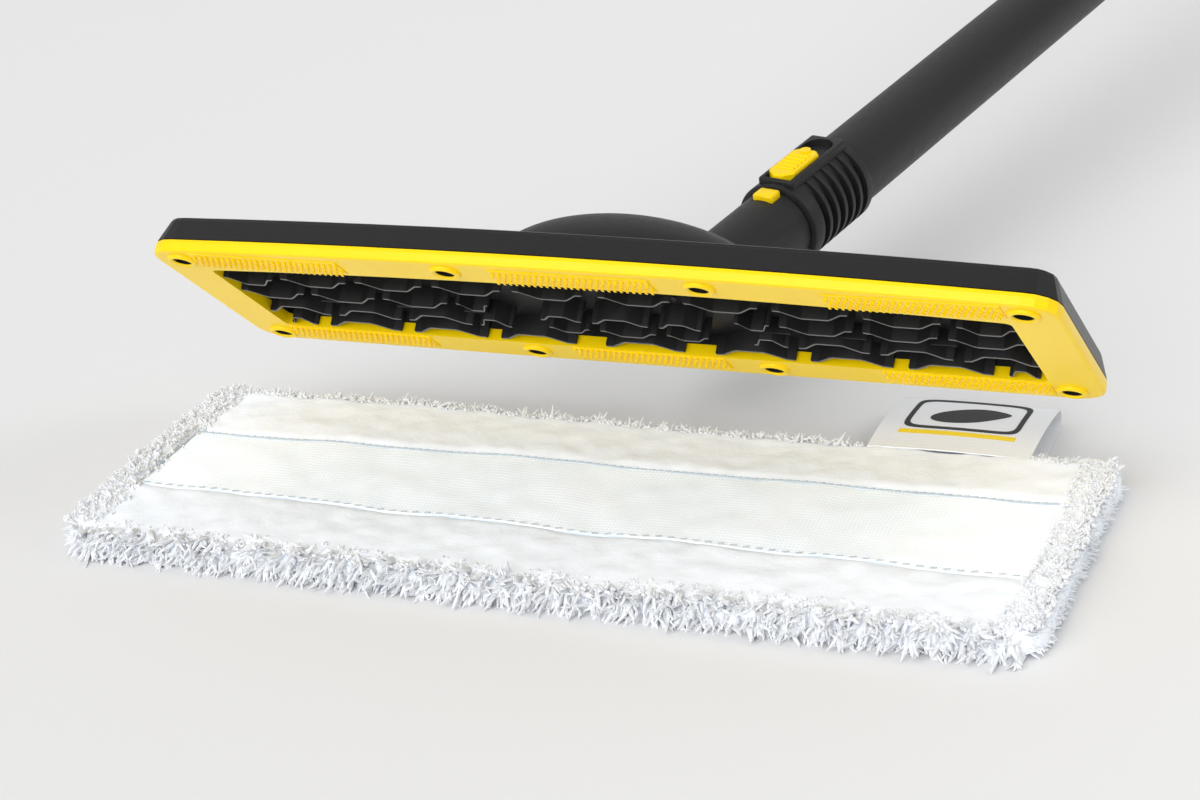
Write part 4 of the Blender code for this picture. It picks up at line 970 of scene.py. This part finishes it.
def strand_mesh(length, radius, bend):
    """A twisted yarn end that stands on the origin: lumpy, blunt and bent towards +X."""
    bm = bmesh.new()
    bmesh.ops.create_cone(
        bm, cap_ends=True, segments=5, radius1=radius, radius2=radius * 0.75, depth=length,
        matrix=shift(0, 0, length / 2),
    )
    uprights = [edge for edge in bm.edges if edge.calc_length() > length * 0.8]
    bmesh.ops.subdivide_edges(bm, edges=uprights, cuts=4, use_grid_fill=True)
    seed = random.uniform(0, 50)
    for vert in bm.verts:
        share = vert.co.z / length
        swell = 0.9 + 0.30 * math.sin(math.pi * share) + 0.55 * noise.noise((share * 5, seed, 2.0))
        swell *= 1 - 0.6 * smooth_step((share - 0.7) / 0.3)
        sway = 0.12 * length * noise.noise((share * 2.2, seed, 0.4)) * share
        vert.co.x = vert.co.x * swell + bend * share * share + sway
        vert.co.y = vert.co.y * swell + sway
    return solid(bm)


def tuft_mesh(count, length, radius, spread):
    """A bunch of fibres from one root."""
    bm = bmesh.new()
    for _ in range(count):
        size = random.uniform(0.6, 1.0)
        width = radius * random.uniform(0.7, 1.1)
        fibre = strand_mesh(length * size, width, length * random.uniform(0.1, 0.45))
        lean = turn(random.uniform(0, 360), "Z") @ turn(random.uniform(0, spread), "Y")
        root = shift(random.uniform(-1, 1) * radius * 2.5, random.uniform(-1, 1) * radius * 2.5, 0)
        fibre.transform(root @ lean @ turn(random.uniform(0, 360), "Z"))
        bm.from_mesh(fibre)
        bpy.data.meshes.remove(fibre)
    return solid(bm)


def add_tufts(name, kinds, places):
    """A piece of many tufts; each place is a point and the way the tuft points."""
    bm = bmesh.new()
    for point, way, size in places:
        copy = random.choice(kinds).copy()
        aim = Vector(way).to_track_quat("Z", "X").to_matrix().to_4x4()
        spin = turn(random.uniform(0, 360), "Z")
        copy.transform(Matrix.Translation(point) @ aim @ spin @ Matrix.Scale(size, 4))
        bm.from_mesh(copy)
        bpy.data.meshes.remove(copy)
    return new_piece(name, bm, "pile", "cloth", CLOTH)


def by_label(x):
    """Whether a point along the far edge is where the label is sewn on."""
    return TAB_LOW_X - 0.001 < x < TAB_HIGH_X + 0.001


def edge_places(side, rows, pitch, size):
    """Tuft roots along a long edge; the lower rows point outward and down."""
    places = []
    half_x = CLOTH_LENGTH / 2 - 0.004
    count = int(2 * half_x / pitch)
    for row in range(rows):
        share = row / max(1, rows - 1)
        for index in range(count):
            x = -half_x + pitch * (index + 0.5 * (row % 2) + random.uniform(-0.25, 0.25))
            y = side * (CLOTH_WIDTH / 2 - 0.0035 + 0.002 * share)
            z = -0.0005 - 0.0045 * share + lie(x, y)
            comb = noise.noise((x / 0.007, 2.0 * row, 5.1))
            lean = 1.3 * comb + random.uniform(-0.12, 0.12)
            way = (lean, side, 0.10 - 0.95 * share + 0.4 * noise.noise((x / 0.005, 1.5 * row, 9.2)))
            if side > 0 and by_label(x):
                continue
            x, y = rounded(x, y, CLOTH_LENGTH / 2, CLOTH_WIDTH / 2, CLOTH_CORNER)
            places.append(((x, y, z), way, size * (random.uniform(0.8, 1.0) + 0.35 * comb)))
    return places


def end_places(side):
    """Short tuft roots down one end of the cloth."""
    places = []
    half_y = CLOTH_WIDTH / 2 - 0.002
    count = int(2 * half_y / END_PITCH)
    for row in range(4):
        share = row / 3
        for index in range(count):
            y = -half_y + END_PITCH * (index + 0.5 * (row % 2) + random.uniform(-0.3, 0.3))
            x = side * (CLOTH_LENGTH / 2 - 0.0040 + 0.0015 * share)
            x, y = rounded(x, y, CLOTH_LENGTH / 2, CLOTH_WIDTH / 2, CLOTH_CORNER)
            way = (side, random.uniform(-0.3, 0.3), 0.55 - 1.0 * share)
            places.append(((x, y, 0.0006 - 0.0058 * share + lie(x, y)), way, random.uniform(0.42, 0.62)))
    return places


def fluff_places(low_x, high_x, low_y, high_y, count, size):
    """Short fluff scattered over a patch of the fleece."""
    places = []
    for _ in range(count):
        x = random.uniform(low_x, high_x)
        y = random.uniform(low_y, high_y)
        if by_label(x) and y > CLOTH_WIDTH / 2 - 0.0045:
            continue
        x, y = rounded(x, y, CLOTH_LENGTH / 2, CLOTH_WIDTH / 2, CLOTH_CORNER)
        way = (random.uniform(-0.6, 0.6), random.uniform(-0.6, 0.6), 1.0)
        places.append(((x, y, fleece_top(x, y) - 0.0006), way, size * random.uniform(0.6, 1.1)))
    return places


def make_fringe():
    half_x = CLOTH_LENGTH / 2
    half_y = CLOTH_WIDTH / 2
    chunky = [tuft_mesh(7, 0.0082, 0.00080, 17) for _ in range(12)]
    short = [tuft_mesh(5, 0.0016, 0.00065, 60) for _ in range(10)]
    near = add_tufts("fringe_near", chunky, edge_places(-1, 4, 0.0036, 1.0))
    far = add_tufts("fringe_far", chunky, edge_places(1, 3, 0.0034, 0.62))
    ends = []
    for side in (-1, 1):
        outer = side * (half_x - 0.0005)
        inner = side * (half_x - 0.0115)
        low, high = sorted((outer, inner))
        ends += fluff_places(low, high, -half_y + 0.003, half_y - 0.003, 620, 1.0)
    fluff = add_tufts("border_fluff", short, ends)
    sides = add_tufts("border_sides", chunky, end_places(-1) + end_places(1))
    edges = fluff_places(-half_x + 0.012, half_x - 0.012, -half_y + 0.0005, -half_y + 0.008, 560, 0.9)
    edges += fluff_places(-half_x + 0.012, half_x - 0.012, half_y - 0.004, half_y - 0.0005, 380, 0.8)
    trim = add_tufts("edge_fluff", short, edges)
    return [near, far, fluff, sides, trim]


def add_stitches(bm, start, finish, edge_y, pitch, stitch):
    """Small slanted stitches in a row along the panel's edge."""
    count = int((finish - start) / pitch)
    for index in range(count):
        x = start + pitch * (index + 0.5)
        y = edge_y(x)
        copy = stitch.copy()
        copy.transform(shift(x, y, lie(x, y) + 0.0004) @ turn(random.uniform(8, 22), "Z"))
        bm.from_mesh(copy)
        bpy.data.meshes.remove(copy)


def mapped(rows, columns, shape):
    """A flat sheet whose points are given by shape from two shares, across and along."""
    bm = bmesh.new()
    bmesh.ops.create_grid(bm, x_segments=rows, y_segments=columns, size=0.5)
    for vert in bm.verts:
        vert.co = shape(vert.co.x + 0.5, vert.co.y + 0.5)
    return bm


def add_seam(bm, line, width):
    """A raised thread along a line given as a point for each share of its length."""

    def shape(along, across):
        x, y, nx, ny = line(along)
        side = (across - 0.5) * width
        height = 0.00035 + 0.0002 * math.sin(math.pi * across)
        return x + nx * side, y + ny * side, lie(x, y) + height

    strip = mapped(220, 4, shape)
    bmesh.ops.solidify(strip, geom=strip.faces[:], thickness=0.0002)
    merge(bm, strip)


def make_seams():
    stitch = solid(block((-0.0011, -0.00016, -0.00016), (0.0011, 0.00016, 0.00016), 0.0001))
    bm = bmesh.new()
    span = PANEL_RIGHT - PANEL_LEFT
    add_stitches(bm, PANEL_LEFT + 0.001, PANEL_RIGHT - 0.001, panel_far, 0.0027, stitch)
    add_stitches(bm, PANEL_LEFT + 0.001, PANEL_RIGHT - 0.001, panel_near, 0.0041, stitch)

    def far(share):
        x = PANEL_LEFT + span * share
        return x, panel_far(x) - 0.0002, 0.0, 1.0

    def left(share):
        low = panel_near(PANEL_LEFT)
        return PANEL_LEFT + 0.0003, low + (panel_far(PANEL_LEFT) - low) * share, 1.0, 0.0

    add_seam(bm, far, 0.00045)
    add_seam(bm, left, 0.0009)
    return new_piece("panel_seams", bm, "thread", "cloth", CLOTH)


def tab_point(share):
    """The label's line from its lower layer over the fold to its upper layer, as (y, z)."""
    start = CLOTH_WIDTH / 2 - 0.004
    end = CLOTH_WIDTH / 2 + TAB_LENGTH - TAB_FOLD
    if share < 0.45:
        along = share / 0.45
        return start + (end - start) * along, TAB_LOW_Z + 0.003 * (1 - smooth_step(along * 4))
    if share < 0.55:
        angle = -math.pi / 2 + math.pi * (share - 0.45) / 0.10
        return end + TAB_FOLD * math.cos(angle), TAB_LOW_Z + TAB_FOLD + TAB_FOLD * math.sin(angle)
    along = (share - 0.55) / 0.45
    return end + (start - end) * along, tab_top(end + (start - end) * along)


def tab_top(y):
    """Height of the label's upper layer."""
    start = CLOTH_WIDTH / 2 - 0.004
    end = CLOTH_WIDTH / 2 + TAB_LENGTH - TAB_FOLD
    share = (y - start) / (end - start)
    return TAB_LOW_Z + 2 * TAB_FOLD + 0.0012 * math.sin(math.pi * share) + 0.0008 * (1 - share)


def on_label(x, y):
    arch = TAB_ARCH * math.sin(math.pi * (x - TAB_LOW_X) / (TAB_HIGH_X - TAB_LOW_X))
    return x, y, tab_top(y) + arch + PRINT_RISE


def make_tab():
    def sheet_point(across, along):
        y, z = tab_point(along)
        x = TAB_LOW_X + (TAB_HIGH_X - TAB_LOW_X) * across
        return x, y, z + TAB_ARCH * math.sin(math.pi * across)

    bm = mapped(24, 120, sheet_point)
    bmesh.ops.solidify(bm, geom=bm.faces[:], thickness=TAB_LAYER * 0.6)
    tab = new_piece("label_loop", bm, "label", "cloth", CLOTH, ("foot_tab",))
    middle_x = (TAB_LOW_X + TAB_HIGH_X) / 2
    near = CLOTH_WIDTH / 2

    def stripe(across, along):
        return on_label(middle_x + (across - 0.5) * 0.038, near + 0.0052 + 0.0026 * along)

    def foot(across, along):
        u = 2 * across - 1
        v = 2 * along - 1
        disc_x = u * math.sqrt(1 - v * v / 2)
        disc_y = v * math.sqrt(1 - u * u / 2)
        pointed = disc_y * (1 - 0.45 * max(disc_x, 0) ** 2)
        return on_label(middle_x + 0.0125 * disc_x + 0.001, near + 0.0205 + 0.0058 * pointed + 0.003 * disc_x)

    def frame_line(across, along):
        """A rounded rectangle's outline, followed from share 0 to 1."""
        angle = 2 * math.pi * across
        power = 0.25
        c, d = math.cos(angle), math.sin(angle)
        reach_x = 0.0190 - 0.0017 * along
        reach_y = 0.0122 - 0.0017 * along
        x = middle_x + reach_x * math.copysign(abs(c) ** power, c)
        return on_label(x, near + 0.0212 + reach_y * math.copysign(abs(d) ** power, d))

    prints = []
    for name, look, rows, columns, shape in (
        ("label_stripe", "print_yellow", 24, 3, stripe),
        ("label_foot", "print_black", 28, 28, foot),
        ("label_frame", "print_black", 160, 2, frame_line),
    ):
        mark = mapped(rows, columns, shape)
        bmesh.ops.solidify(mark, geom=mark.faces[:], thickness=0.00008)
        bmesh.ops.remove_doubles(mark, verts=mark.verts, dist=1e-6)
        prints.append(new_piece(name, mark, look, "cloth", CLOTH))
    return tab, prints


def make_cloth():
    pad = make_pad()
    panel = make_panel()
    fringe = make_fringe()
    seams = make_seams()
    tab, prints = make_tab()
    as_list(prints)


# ---------------------------------------------------------------- stage


def make_stage():
    bm = bmesh.new()
    bmesh.ops.create_grid(bm, x_segments=1, y_segments=1, size=6.0, matrix=shift(0, 0, FLOOR_Z - GAP))
    mesh = solid(bm, "floor")
    floor = bpy.data.objects.new("floor", mesh)
    scene.collection.objects.link(floor)
    paper = bpy.data.materials.new("floor")
    paper.use_nodes = True
    shader = paper.node_tree.nodes["Principled BSDF"]
    shader.inputs["Base Color"].default_value = (0.80, 0.80, 0.80, 1.0)
    shader.inputs["Roughness"].default_value = 0.9
    mesh.materials.append(paper)
    sky = bpy.data.worlds.new("studio")
    sky.use_nodes = True
    sky.node_tree.nodes["Background"].inputs["Color"].default_value = (1.0, 1.0, 1.0, 1.0)
    sky.node_tree.nodes["Background"].inputs["Strength"].default_value = WORLD_STRENGTH
    scene.world = sky
    for name, place, energy, spread in SUNS:
        add_light(name, "SUN", place, energy).angle = math.radians(spread)
    for name, place, size, energy in PANELS:
        add_light(name, "AREA", place, energy).size = size


def add_light(name, kind, place, energy):
    """A light at a place about the sole's centre, pointing at it."""
    lamp = bpy.data.lights.new(name, kind)
    lamp.energy = energy
    item = bpy.data.objects.new(name, lamp)
    item.location = sole_centre + Vector(place)
    item.rotation_mode = "QUATERNION"
    item.rotation_quaternion = (-Vector(place)).to_track_quat("-Z", "Y")
    scene.collection.objects.link(item)
    return lamp


def make_camera():
    lens = bpy.data.cameras.new("camera")
    lens.lens = CAMERA_LENS
    lens.clip_end = 20
    item = bpy.data.objects.new("camera", lens)
    look = Vector(CAMERA_AIM) - Vector(CAMERA_PLACE)
    aim = look.to_track_quat("-Z", "Y").to_matrix().to_4x4()
    item.matrix_world = Matrix.Translation(CAMERA_PLACE) @ aim @ turn(CAMERA_ROLL, "Z")
    scene.collection.objects.link(item)
    scene.camera = item


random.seed(4)
scene.view_settings.view_transform = "Standard"
dress_nodes()
make_hooks()
make_bosses()
make_lamellas()
make_dome()
make_neck()
make_collar()
make_tube()
make_cloth()
make_stage()
make_camera()
